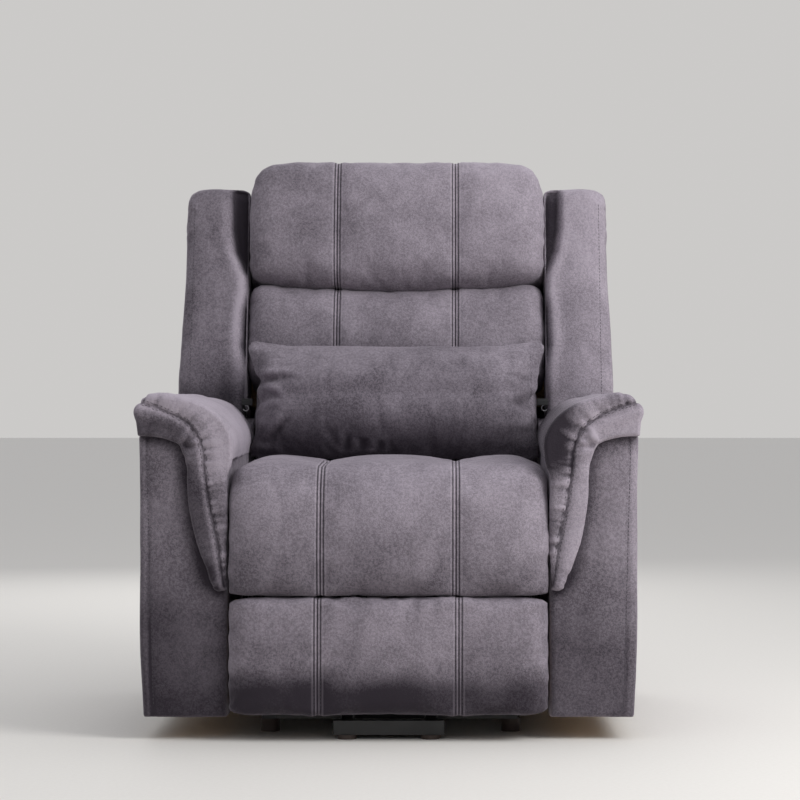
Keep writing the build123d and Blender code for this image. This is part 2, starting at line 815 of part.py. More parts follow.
def make_power_box():
    """The power unit on the rear cross tube, with the socket for the mains lead."""
    bottom = rear_tube[1] + tube_radius
    box = block(box_x, box_y, (bottom, bottom + box_height))
    box = fillet(box.edges().filter_by(Axis.Z), box_corner)
    middle_x = (box_x[0] + box_x[1]) / 2
    middle_z = bottom + box_height / 2
    inlet_x = (middle_x - inlet_width / 2, middle_x + inlet_width / 2)
    inlet_z = (middle_z - inlet_height / 2, middle_z + inlet_height / 2)
    return box - block(inlet_x, (box_y[1] - inlet_depth, box_y[1]), inlet_z)


save_pair("chassis_plate", make_chassis_plate())
save("chassis_tubes", make_chassis_tubes())
save("chassis_pins", make_chassis_pins())
save("seat_boards", make_seat_boards())
save("seat_webbing", make_webbing())
save("rear_apron", make_apron())
save("power_box", make_power_box())

# ================================================================ legrest linkage

carrier_step = (turning_centre[0] - upper_pivot[0], turning_centre[1] - upper_pivot[1])
front_knee = add(panel_pivot, (-carrier_step[0], -carrier_step[1]))
rear_knee = add(front_knee, (upper_pivot_spacing, 0))
control_step = polar(control_arm, control_angle)
control_knee = add(front_knee, control_step)
control_end = add(panel_pivot, control_step)
arm_outside = arm_layer + layer_thickness
carrier_outside = carrier_layer + layer_thickness
pin_reach = arm_outside + pin_end


def make_front_arm():
    """The swinging arm with three holes: chassis, carrier and control link."""
    shape = bar((upper_pivot, legrest_eye), (front_knee, legrest_eye))
    shape -= disc(upper_pivot, legrest_pin + running_gap)
    shape -= disc(front_knee, legrest_pin + running_gap)
    shape -= disc(control_knee, legrest_pin + close_gap)
    return across(shape, arm_layer, arm_outside)


def make_rear_arm():
    """The arm that the torque tube turns."""
    shape = bar((rear_arm_pivot, legrest_eye * 1.2), (rear_knee, legrest_eye))
    shape -= disc(rear_arm_pivot, legrest_pin + running_gap)
    shape -= disc(rear_knee, legrest_pin + close_gap)
    return across(shape, arm_layer, arm_outside)


def make_carrier():
    """The bent plate that stays level as it swings out, with its three pins."""
    shape = bar((front_knee, carrier_eye), (rear_knee, carrier_eye))
    shape += bar((front_knee, carrier_eye), (panel_pivot, carrier_eye))
    plate = across(shape, carrier_layer, carrier_outside)
    for knee in (front_knee, rear_knee, panel_pivot):
        plate += shaft(knee, legrest_pin, carrier_outside, pin_reach)
    return plate


def make_control_link():
    """The link that turns the panel as the carrier swings out, with its two pins."""
    shape = bar((control_knee, control_half_width), (control_end, control_half_width))
    outside = control_layer + layer_thickness
    link = across(shape, control_layer, outside)
    for knee in (control_knee, control_end):
        link += shaft(knee, legrest_pin, outside, pin_reach)
    return link


def make_panel_bracket():
    """The bracket behind the legrest board, with a flange for its screws."""
    face = legrest_board_rear
    shape = bar(
        (panel_pivot, legrest_eye),
        (control_end, legrest_eye),
        ((face + bracket_root, bracket_flange_high), bracket_root),
        ((face + bracket_root, bracket_flange_low), bracket_root),
    )
    shape -= disc(panel_pivot, legrest_pin + running_gap)
    shape -= disc(control_end, legrest_pin + running_gap)
    bracket = across(shape, arm_layer, arm_outside)
    flange_z = (bracket_flange_low, bracket_flange_high)
    flange_x = (arm_outside - 1.25 * flange_width, arm_outside)
    return bracket + block(flange_x, (face, face + flange_thickness), flange_z)


half_travel = legrest_travel / 2
crank_low = add(rear_arm_pivot, polar(legrest_crank, half_travel - 90))
crank_x = (legrest_drive_x + crank_side[0], legrest_drive_x + crank_side[1])
yoke_x = (legrest_drive_x - yoke_half, legrest_drive_x + yoke_half)
pin_drop = legrest_crank * (1 - math.cos(math.radians(half_travel)))
yoke_z = crank_low[1] - pin_drop / 2
yoke_stroke = 2 * legrest_crank * math.sin(math.radians(half_travel))


def make_torque_tube():
    """The tube that joins the rear arms, with the crank that the drive pushes."""
    tube = shaft(rear_arm_pivot, torque_tube_radius, -arm_layer, arm_layer)
    bore = legrest_pin + head_margin + pin_end
    bored = arm_layer - torque_bearing
    tube -= shaft(rear_arm_pivot, bore, -arm_layer, -bored)
    tube -= shaft(rear_arm_pivot, bore, bored, arm_layer)
    crank = bar((rear_arm_pivot, torque_tube_radius * 1.36), (crank_low, legrest_pin * 1.8))
    tube += across(crank, *crank_x)
    return tube + shaft(crank_low, legrest_pin, crank_x[0], yoke_x[1] + yoke_half / 2)


def make_yoke():
    """The drive's rod with a slotted plate, in which the crank's pin rides up and down."""
    hole_half = legrest_pin + yoke_gap
    travel = pin_drop / 2 + pin_end
    plate = bar(
        ((crank_low[0], yoke_z - travel), hole_half + yoke_wall),
        ((crank_low[0], yoke_z + travel), hole_half + yoke_wall),
    )
    plate -= bar(
        ((crank_low[0], yoke_z - travel), hole_half), ((crank_low[0], yoke_z + travel), hole_half)
    )
    yoke = across(plate, *yoke_x)
    start = crank_low[0] + hole_half + yoke_wall / 2
    rod_length = yoke_rod_end - start
    middle = (legrest_drive_x, start + rod_length / 2, yoke_z)
    rod = Pos(*middle) * Rot(90, 0, 0) * Cylinder(legrest_rod, rod_length)
    return yoke + rod


def make_legrest_drive():
    """The drive's tube, gearbox and motor, hung from the middle cross tube by a saddle."""
    tube_y = (tube_front, tube_rear)
    middle = (tube_y[0] + tube_y[1]) / 2
    body = Pos(legrest_drive_x, middle, yoke_z) * Rot(90, 0, 0) * Cylinder(
        actuator_tube, tube_y[1] - tube_y[0]
    )
    drop = actuator_tube + motor_radius + motor_gap
    motor_z = yoke_z - drop
    motor_y = tube_rear - legrest_motor_length / 2
    body += Pos(legrest_drive_x, motor_y, motor_z) * Rot(90, 0, 0) * Cylinder(
        motor_radius, legrest_motor_length
    )
    box_x_span = (legrest_drive_x - actuator_tube, legrest_drive_x + actuator_tube)
    box_z_span = (motor_z - motor_radius, yoke_z + actuator_tube)
    body += block(box_x_span, (tube_rear - gearbox_height, tube_rear), box_z_span)
    grip = tube_radius + saddle_wall
    saddle_y = (middle_tube[0] - grip, middle_tube[0] + grip)
    saddle_x = (legrest_drive_x - saddle_half, legrest_drive_x + saddle_half)
    body += block(saddle_x, saddle_y, (yoke_z, middle_tube[1]))
    body -= shaft(middle_tube, tube_radius, saddle_x[0], saddle_x[1])
    bore = Pos(legrest_drive_x, (tube_front + tube_rear - gearbox_height) / 2, yoke_z)
    bore_length = tube_rear - gearbox_height - tube_front
    return body - bore * Rot(90, 0, 0) * Cylinder(legrest_rod + rod_gap, bore_length)


def make_legrest_board():
    """The board that carries the pad."""
    y_span = (legrest_board_rear - legrest_board_thickness, legrest_board_rear)
    half = seat_half_width - legrest_board_inset
    z_span = (legrest_bottom + legrest_board_inset, legrest_top - legrest_board_inset)
    board = block((-half, half), y_span, z_span)
    return fillet(board.edges().filter_by(Axis.Y), legrest_board_corner)


save_pair("legrest_front_arm", make_front_arm())
save_pair("legrest_rear_arm", make_rear_arm())
save_pair("legrest_carrier", make_carrier())
control = make_control_link()
save("legrest_control_links", Compound(children=[control, mirror(control, about=Plane.YZ)]))
save_pair("legrest_bracket", make_panel_bracket())
save("legrest_torque_tube", make_torque_tube())
save("legrest_drive_yoke", make_yoke())
save("legrest_drive_body", make_legrest_drive())
save("legrest_board", make_legrest_board())

# ================================================================ recline drive and the back's hinge


def make_hinge():
    """Hinge plates of the back, the tube that joins them and the drive's lever."""
    pivot = (pivot_y, pivot_z)
    low = on_back(-back_board / 2, hinge_low)
    high = on_back(-back_board / 2, hinge_high)
    plate = bar((pivot, hinge_eye), (drive_tube, hinge_tube_eye), (low, hinge_strip))
    plate += bar((low, hinge_strip), (high, hinge_strip * 0.92))
    part = shaft(drive_tube, torque_tube_radius, -hinge_inside, hinge_inside)
    for side in (-1, 1):
        near = side * hinge_inside
        far = side * (hinge_inside + hinge_thickness)
        part += across(plate, min(near, far), max(near, far))
        inner = side * (hinge_inside - head_thickness)
        outer = side * (plate_outside + side_gap + head_thickness)
        part += shaft(pivot, recline_pin, min(inner, outer), max(inner, outer))
        head = side * (plate_outside + side_gap)
        part += shaft(pivot, recline_pin + head_margin, min(head, outer), max(head, outer))
    root_radius = actuator_eye + fork_root_margin
    return part + fork(recline_drive_moving, drive_tube, actuator_eye, root_radius, recline_drive_x)


recline_drive_body = make_drive_body(
    recline_drive_fixed, recline_drive_moving, recline_drive_x,
    (0, actuator_tube + motor_radius + motor_gap), recline_tube_end, recline_motor_length,
)
recline_drive_rod = make_drive_rod(
    recline_drive_fixed, recline_drive_moving, recline_drive_x, recline_rod_start, recline_slot
)
save("back_hinge", make_hinge())
save("recline_drive_body", recline_drive_body)
save("recline_drive_rod", recline_drive_rod)

# ================================================================ arms


def lengthwise(sketch, y_from, y_to):
    """Extrude an (x, z) drawing from one y to another."""
    return extrude(Plane.XZ.offset(-y_to) * sketch, amount=y_to - y_from)


def arm_body(inset, bottom):
    """The arm's solid form, drawn in all round by an inset, with a bottom of its own."""
    top = arm_top - inset
    radius = arc_arm - inset
    front = arm_front + inset
    rear = arm_rear - inset
    rise = top - pivot_z
    arc_start = (pivot_y - math.sqrt(radius ** 2 - rise ** 2), top)
    arc_end = (rear, pivot_z + math.sqrt(radius ** 2 - (rear - pivot_y) ** 2))
    side_view = outline(
        (front, bottom),
        [(front, top)],
        [arc_start],
        [(pivot_y, pivot_z + radius), arc_end],
        [(rear, bottom)],
    )
    flare = (arm_outer_top - arm_outer_bottom) / (arm_top - arm_bottom)
    outer_low = arm_outer_bottom - inset + flare * (bottom - arm_bottom)
    high = pivot_z + arc_arm + arm_corner
    outer_high = arm_outer_bottom - inset + flare * (high - arm_bottom)
    front_view = outline(
        (arm_inner + inset, bottom),
        [(arm_inner + inset, high)],
        [(outer_high, high)],
        [(outer_low, bottom)],
    )
    solid = lengthwise(front_view, front, rear)
    return solid & across(side_view, arm_inner, outer_high + arm_corner)


pouch_x = (arm_outer_top - 1.5 * pouch_depth, arm_outer_top + arm_corner)
pouch_span = (pouch_x, (pouch_front, pouch_rear), (pouch_bottom, pouch_top))


def make_arm_cover(with_pouch):
    """The upholstered shell of an arm, open underneath, with rounded upright corners."""
    outside = arm_body(0, arm_bottom)
    corners = outside.edges().filter_by(Axis.Z, tolerance=3).sort_by(Axis.X)
    outside = fillet(corners, arm_corner / 2)
    cover = outside - arm_body(arm_cover_wall, arm_bottom - arm_hem)
    if with_pouch:
        grown = [(a - window_gap, b + window_gap) for a, b in pouch_span[1:]]
        cover -= block(pouch_span[0], *grown)
    return cover


def make_arm_frame():
    """The plywood and board frame inside an arm."""
    outer = arm_cover_wall + soft_gap
    frame = arm_body(outer, arm_bottom + arm_hem)
    frame -= arm_body(outer + arm_board, arm_bottom + arm_hem + arm_board)
    for y_span, z_span in frame_windows:
        frame -= block((arm_inner - arm_corner, arm_outer_top + arm_corner), y_span, z_span)
    return frame


def make_pouch():
    """The sewn pocket for the handset: a box whose outer wall stops at its lip."""
    shell = arm_body(pouch_inset, arm_bottom)
    x_inner = (arm_outer_top - pouch_depth - arm_cover_wall, pouch_span[0][1])
    pouch = shell & block(x_inner, *pouch_span[1:])
    y_hole = (pouch_front + pouch_wall, pouch_rear - pouch_wall)
    z_hole = (pouch_bottom + pouch_wall, pouch_top - pouch_wall)
    hollow = arm_body(pouch_inset + pouch_wall, arm_bottom)
    pouch -= hollow & block((x_inner[0] + pouch_wall, x_inner[1]), y_hole, z_hole)
    return pouch - block((x_inner[0] + pouch_wall, x_inner[1]), y_hole, (pouch_lip, z_hole[1]))


def on_pad(shares):
    """Points of the pad's front view from shares across it and over the arm's top."""
    width = pad_outer - arm_inner
    height = pad_crown - arm_top
    return [(arm_inner + a * width, arm_top + b * height) for a, b in shares]


def on_band(shares):
    """Points of the pad's front view from shares across it and up its hanging band."""
    width = pad_outer - arm_inner
    height = arm_top - band_bottom
    return [(arm_inner + a * width, band_bottom + b * height) for a, b in shares]


def pad_face(inner):
    """One cut through the pad, whose swell over the seat reaches an inner x."""
    crown = on_pad(pad_shape)
    seam_z = arm_top + soft_gap
    side_x = arm_inner - soft_gap
    skirt = arm_top - pad_skirt
    return outline(
        (arm_outer_top, seam_z),
        [crown[0], crown[1]],
        [crown[2], crown[3]],
        [crown[4], (inner + pad_roll, arm_top + 2 * pad_roll - roll_rise / 3)],
        [(inner + pad_roll / 12, arm_top + roll_rise), (inner, skirt + pad_roll * 0.8)],
        [(inner + pad_roll / 8, skirt)],
        [(side_x, skirt)],
        [(side_x, seam_z)],
    )


def make_pad():
    """The padded top of an arm and the band that runs down the arm's front."""
    full = pad_face(arm_inner - pad_swell)
    slim = pad_face(arm_inner - soft_gap - pad_swell / 3)
    stations = ((arm_front, full), (pad_taper[0], full), (pad_taper[1], slim), (pad_rear, slim))
    faces = [(Plane.XZ.offset(-y) * face).face() for y, face in stations]
    pad = loft(faces)
    outer = on_band(band_outer)
    inner = on_band(band_inner)
    crown = on_pad(band_crown)
    swell = arm_inner - pad_swell
    height = arm_top - band_bottom
    band = outline(
        (arm_outer_top, arm_top),
        [outer[0], outer[1]],
        [outer[2], outer[3]],
        [outer[4], outer[5]],
        [inner[0]],
        [inner[1]],
        [inner[2], (swell, band_bottom + band_swell * height)],
        [
            (swell + pad_roll / 6, arm_top + roll_rise),
            (swell + pad_roll, arm_top + 2 * pad_roll - roll_rise / 3),
        ],
        [crown[0], crown[1]],
        [crown[2], crown[3]],
        [crown[4], crown[5]],
    )
    edge_y = arm_front - pad_front_depth + band_round
    front = lengthwise(band, edge_y, arm_front)
    front += extrude(Plane.XZ.offset(-edge_y) * band, amount=band_round, taper=band_taper)
    return pad + front


save("arm_frame_left", make_arm_frame())
save("arm_frame_right", mirror(make_arm_frame(), about=Plane.YZ))
save("arm_cover_left", make_arm_cover(False))
save("arm_cover_right", mirror(make_arm_cover(True), about=Plane.YZ))
save("handset_pouch", mirror(make_pouch(), about=Plane.YZ))
save_pair("arm_pad", make_pad())

# ================================================================ handset

handset_y = (pouch_front + pouch_rear) / 2
handset_low = pouch_bottom + pouch_wall + soft_gap


def rocker_middle(number):
    """Height of a rocker's axis."""
    return handset_low + handset_height - rocker_top - number * rocker_pitch


def make_handset():
    """The hand control's housing with its rocker wells and the socket for its lead."""
    x_span = (handset_outer - handset_thickness, handset_outer)
    y_span = (handset_y - handset_width / 2, handset_y + handset_width / 2)
    body = block(x_span, y_span, (handset_low, handset_low + handset_height))
    body = fillet(body.edges().filter_by(Axis.X), handset_corner)
    body = fillet(body.faces().sort_by(Axis.X)[-1].edges(), handset_edge)
    body = fillet(body.faces().sort_by(Axis.X)[0].edges(), handset_edge)
    for number in range(len(rocker_names)):
        z = rocker_middle(number)
        half = rocker_height / 2 + rocker_gap
        well_y = rocker_width / 2 + rocker_gap
        x_well = (handset_outer - rocker_depth - rocker_gap, handset_outer + rocker_rise)
        body -= block(x_well, (handset_y - well_y, handset_y + well_y), (z - half, z + half))
        reach = rocker_width / 2 + rocker_gap + trunnion_reach
        hole = Pos(rocker_axis_x, handset_y, z) * Rot(90, 0, 0)
        body -= hole * Cylinder(trunnion + running_gap, 2 * reach)
    socket_x = (x_span[0] + x_span[1]) / 2
    socket = Cylinder(socket_radius, socket_depth)
    return body - Pos(socket_x, handset_y, handset_low + socket_depth / 2) * socket


rocker_axis_x = handset_outer - rocker_depth / 2


def make_rocker(number):
    """A rocker with a hollowed face, on two trunnions along Y."""
    z = rocker_middle(number)
    x_span = (handset_outer - rocker_depth, handset_outer + rocker_rise)
    y_span = (handset_y - rocker_width / 2, handset_y + rocker_width / 2)
    key = block(x_span, y_span, (z - rocker_height / 2, z + rocker_height / 2))
    key = fillet(key.edges().filter_by(Axis.Y).group_by(Axis.X)[-1], rocker_rise * 0.66)
    dish = Pos(handset_outer + rocker_rise + dish_offset, handset_y, z) * Rot(90, 0, 0)
    key -= dish * Cylinder(rocker_dish, rocker_width - 2 * dish_margin)
    axle = Pos(rocker_axis_x, handset_y, z) * Rot(90, 0, 0)
    return key + axle * Cylinder(trunnion, rocker_width + 2 * rocker_gap + 2 * trunnion_reach * 0.66)


save("handset_housing", mirror(make_handset(), about=Plane.YZ))
for number, name in enumerate(rocker_names):
    save("handset_rocker_" + name, mirror(make_rocker(number), about=Plane.YZ))

# ================================================================ seat cushion and legrest pad


def seat_face(inset, dip):
    """One cut through the seat cushion, drawn in by the inset and lowered by the dip."""
    front = seat_front + inset
    tall = seat_crown - seat_lip_bottom
    deep = seat_rear - seat_front
    toe = [(front + a * seat_lip_depth, seat_lip_bottom + b * tall) for a, b in seat_toe]
    brow = [(front + a * seat_lip_depth, seat_lip_bottom - dip + b * tall) for a, b in seat_brow]
    tail = [(seat_rear - a * deep, seat_lip_bottom - dip + b * tall) for a, b in seat_tail]
    return outline(
        (seat_lip_rear, seat_lip_bottom),
        [toe[0]],
        [toe[1]],
        [toe[2]],
        [brow[0], brow[1]],
        [brow[2], brow[3]],
        [tail[0], tail[1]],
        [tail[2], tail[3]],
        [(seat_rear, seat_underside)],
        [(seat_lip_rear, seat_underside)],
    )


def seat_section(inset, x):
    """The seat cushion's cut at x, with the crown dipping towards the middle."""
    dish = seat_dish * (1 - (x / seat_half_width) ** 2)
    return seat_face(inset, inset + dish)


def legrest_face(inset):
    """One cut through the legrest pad."""
    rear = legrest_board_rear - legrest_board_thickness - soft_gap
    front = seat_front + inset
    low = legrest_bottom + inset / 2
    high = legrest_top - inset / 2
    slope = front + edge_slope * legrest_edge
    turn_y = front + edge_middle[0] * legrest_edge
    turn_z = edge_middle[1] * legrest_edge
    return outline(
        (rear, low),
        [(front + legrest_edge, low)],
        [(turn_y, low + turn_z), (slope, low + legrest_edge)],
        [(front, (low + high) / 2), (slope, high - legrest_edge)],
        [(turn_y, high - turn_z), (front + legrest_edge, high)],
        [(rear, high)],
    )


def legrest_section(inset, x):
    """The legrest pad's cut at x."""
    return legrest_face(inset * legrest_inset_share)


seat = cushion_stations(seat_half_width, seam_x, seat_section)
save("seat_cushion", loft_across(seat))
legrest = cushion_stations(seat_half_width, legrest_seam_x, legrest_section)
save("legrest_pad", loft_across(legrest))

# ================================================================ back


def back_face(depth, low, high, inset):
    """One cut through a back cushion, in the leaning back's own directions."""
    deep = depth - inset
    a = low + inset * height_share
    b = high - inset * height_share
    r = cushion_round
    near = r * round_share
    points = [
        (deep - r, a), (deep - near, a + near), (deep, a + r),
        (deep + cushion_crown, (a + b) / 2), (deep, b - r),
        (deep - near, b - near), (deep - r, b),
    ]
    at = [on_back(*point) for point in points]
    return outline(
        on_back(0, a),
        [at[0]],
        [at[1], at[2]],
        [at[3], at[4]],
        [at[5], at[6]],
        [on_back(0, b)],
    )


def back_cushion(half_width, depth, low, high, low_rise=0, high_rise=0, shoulder=0):
    """One back cushion. Its edges rise towards both ends, and its top corners may be rounded."""
    stations = cushion_stations(half_width, seam_x, lambda inset, x: (inset, x))
    corner = half_width - shoulder_width
    stations += [(side * corner, (0.0, side * corner)) for side in (-1, 1)]
    stations.sort()

    def section(inset, x):
        share = (x / half_width) ** 2
        turn = max(0, abs(x) - half_width + shoulder_width) / shoulder_width
        drop = shoulder * (1 - math.sqrt(1 - min(1, turn) ** 2 * shoulder_end))
        top = high + high_rise * share - drop
        return back_face(depth, low + low_rise * share, top, inset * back_end_share)

    return loft_across([(x, section(*at)) for x, at in stations])


def make_back_frame():
    """Two side rails, three cross rails and the boards that carry the wings."""
    frame = None
    for side in (-1, 1):
        x_span = sorted((side * (hinge_inside - rail_width_back), side * hinge_inside))
        piece = behind(span(*x_span, rail_low, rail_high), 0, back_board)
        frame = piece if frame is None else frame + piece
    reach = wing_outside - 2 * cover_wall
    for low in cross_rails:
        half = reach if low > wing_rail_from else hinge_inside - rail_width_back
        frame += behind(span(-half, half, low, low + cross_rail_height), 0, back_board)
    return frame


def make_back_webbing():
    """Elastic straps between the back's side rails."""
    reach = hinge_inside - rail_width_back
    straps = []
    depth = (back_strap_depth, back_strap_depth + webbing_thickness)
    for low in back_strap_heights:
        straps.append(behind(span(-reach, reach, low, low + back_strap_width), *depth))
    return Compound(children=straps)


def wing_face(inset, drop):
    """One cut through a wing, whose underside is an arc about the recline axis."""
    deep = wing_depth - inset
    top = wing_height - drop
    r = wing_round
    near = r * round_share
    at = [
        (0, arc_height(0, wing_arc)), (deep / 2, arc_height(deep / 2, wing_arc)),
        (deep, arc_height(deep, wing_arc)), (deep, top - r),
        (deep - near, top - near), (deep - r, top), (0, top),
    ]
    p = [on_back(*point) for point in at]
    return outline(p[0], [p[1], p[2]], [p[3]], [p[4], p[5]], [p[6]])


def make_wing():
    """A padded wing with a soft ridge down its front and rounded edges."""
    width = wing_outside - wing_inside
    return loft_across([
        (wing_inside + share * width, wing_face(inset, drop)) for share, inset, drop in wing_stations
    ])


def make_back_cover():
    """The shell that closes the back from behind, stepped in to pass between the arms."""
    shoulder = arc_height(0, wing_arc) + soft_gap
    low = span(-lower_half_width, lower_half_width, cover_low, shoulder + cover_wall)
    middle = span(-wing_outside, wing_outside, shoulder, wing_height)
    high = span(-back_half_width, back_half_width, wing_height - cover_wall, cover_high)
    high = fillet(high.vertices().group_by(Axis.Y)[-1], cover_round)
    shape = low + middle
    outer = fillet(shape.vertices(), cover_corner) + high
    inner = offset(outer, -cover_wall)
    mouth = lower_half_width - cover_wall
    inner += span(-mouth, mouth, cover_low - cover_wall, shoulder)
    shell = behind(outer, 0, back_depth)
    return shell - behind(inner, -cover_wall, back_depth - cover_wall)


def make_pillow():
    """The loose lumbar pillow: full in the middle, pinched to a seam at its ends."""
    rear = pillow_rear

    def face(thickness, trim):
        low = pillow_low + trim
        high = pillow_high - trim
        middle = (low + high) / 2
        swell = thickness * pillow_swell
        centre = rear + pillow_thickness / 2
        near = thickness / 2
        third = (high - low) * pillow_third
        at = [
            (centre, low), (centre + swell, low + third), (centre + near, middle),
            (centre + swell, high - third), (centre, high),
            (centre - swell, high - third), (centre - near, middle),
            (centre - swell, low + third),
        ]
        p = [on_back(*point) for point in at]
        return outline(p[0], [p[1], p[2]], [p[3], p[4]], [p[5], p[6]], [p[7], p[0]])

    half = [
        (pillow_half_width * reach, face(pillow_thickness * share, trim))
        for reach, share, trim in pillow_stations
    ]
    left = [(-x, cut) for x, cut in reversed(half) if x > 0]
    return loft_across(left + half)


pillow_rear = middle_depth + cushion_crown + pillow_gap
strap_reach = wing_inside - pillow_half_width - 2 * soft_gap


def make_straps():
    """Two elastic straps with hooks, from the pillow's ends round the edge of the back."""
    centre = pillow_rear + pillow_thickness / 2
    low = (pillow_low + pillow_high) / 2 - strap_width / 2
    start = pillow_half_width + soft_gap
    pieces = []
    for side in (-1, 1):
        x_span = sorted((side * start, side * (start + strap_reach)))
        strip = span(*x_span, low, low + strap_width)
        piece = behind(strip, -centre, -centre + strap_thickness)
        end_x = sorted((side * (start + strap_reach - strap_thickness), side * (start + strap_reach)))
        leg = span(*end_x, low, low + strap_width)
        piece += behind(leg, -centre, -middle_depth + back_board)
        pieces.append(piece)
    return Compound(children=pieces)


head = back_cushion(
    back_half_width, head_depth, head_height, head_top_height, low_rise=head_sag, shoulder=shoulder_drop
)
middle = back_cushion(
    back_half_width, middle_depth, middle_height, head_height - soft_gap, high_rise=head_sag
)
lower = back_cushion(lower_half_width, lower_depth, lower_height, middle_height - soft_gap)
save("head_cushion", head)
save("middle_cushion", middle)
save("lower_cushion", lower)
save("back_frame", make_back_frame())
save("back_webbing", make_back_webbing())
save_pair("wing", make_wing())
save("back_cover", make_back_cover())
save("lumbar_pillow", make_pillow())
save("pillow_straps", make_straps())
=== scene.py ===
"""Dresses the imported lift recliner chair: suede upholstery, stitching, finishes and a plain studio."""

from __future__ import annotations

import json
import logging
import math
from dataclasses import dataclass, field
from enum import Enum
from typing import Callable, Iterable, Sequence

import bpy
import numpy as np
from mathutils import Matrix, Vector
from mathutils.bvhtree import BVHTree
from mathutils.kdtree import KDTree


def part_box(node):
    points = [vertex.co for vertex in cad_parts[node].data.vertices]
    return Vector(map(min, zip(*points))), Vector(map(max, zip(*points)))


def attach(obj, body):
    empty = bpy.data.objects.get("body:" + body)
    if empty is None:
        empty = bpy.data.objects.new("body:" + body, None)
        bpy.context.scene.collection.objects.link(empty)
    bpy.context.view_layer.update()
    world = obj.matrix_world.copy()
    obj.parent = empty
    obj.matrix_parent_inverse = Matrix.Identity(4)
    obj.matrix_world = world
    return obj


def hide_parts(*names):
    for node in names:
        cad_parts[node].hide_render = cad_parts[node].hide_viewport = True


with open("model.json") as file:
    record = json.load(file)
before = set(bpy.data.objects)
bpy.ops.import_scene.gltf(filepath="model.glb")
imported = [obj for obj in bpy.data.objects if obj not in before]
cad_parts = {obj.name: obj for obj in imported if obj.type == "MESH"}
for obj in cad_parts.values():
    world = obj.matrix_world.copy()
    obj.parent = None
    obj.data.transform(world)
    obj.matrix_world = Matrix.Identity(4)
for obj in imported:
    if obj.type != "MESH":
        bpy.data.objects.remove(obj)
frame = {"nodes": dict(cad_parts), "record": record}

LOG = logging.getLogger("recliner")
SEAM_HALF = 0.0058  # from a sewn seam to the topstitching beside it
LEAN = 0.268  # how far the back leans to the rear for each metre of height
OUTSIDE = 0.8  # how far off the rays start that find a piece's surface
TONE_RANGE = (-1.6, 1.4)  # the darkest and the lightest of the tone: painted light and shade with the nap's clouds
Colour = tuple[float, float, float]
Point = tuple[float, float, float]
Pair = tuple[float, float]
Array = np.ndarray
Socket = bpy.types.NodeSocket


class Side(Enum):
    """Which of a pair a piece is: the sitter's left is towards +X."""

    LEFT = 1
    RIGHT = -1

    @property
    def label(self) -> str:
        """The ending of the CAD node's name."""
        return self.name.lower()


class Slot(Enum):
    """The record's material slots."""

    UPHOLSTERY = "upholstery"
    WOOD = "frame_wood"
    WEBBING = "webbing"
    STEEL = "frame_steel"
    BRIGHT = "bright_steel"
    DRIVE = "drive_plastic"
    HANDSET = "handset_plastic"
    ROCKER = "rocker_plastic"
    FOOT = "foot_rubber"


# ---------------------------------------------------------------- shader building


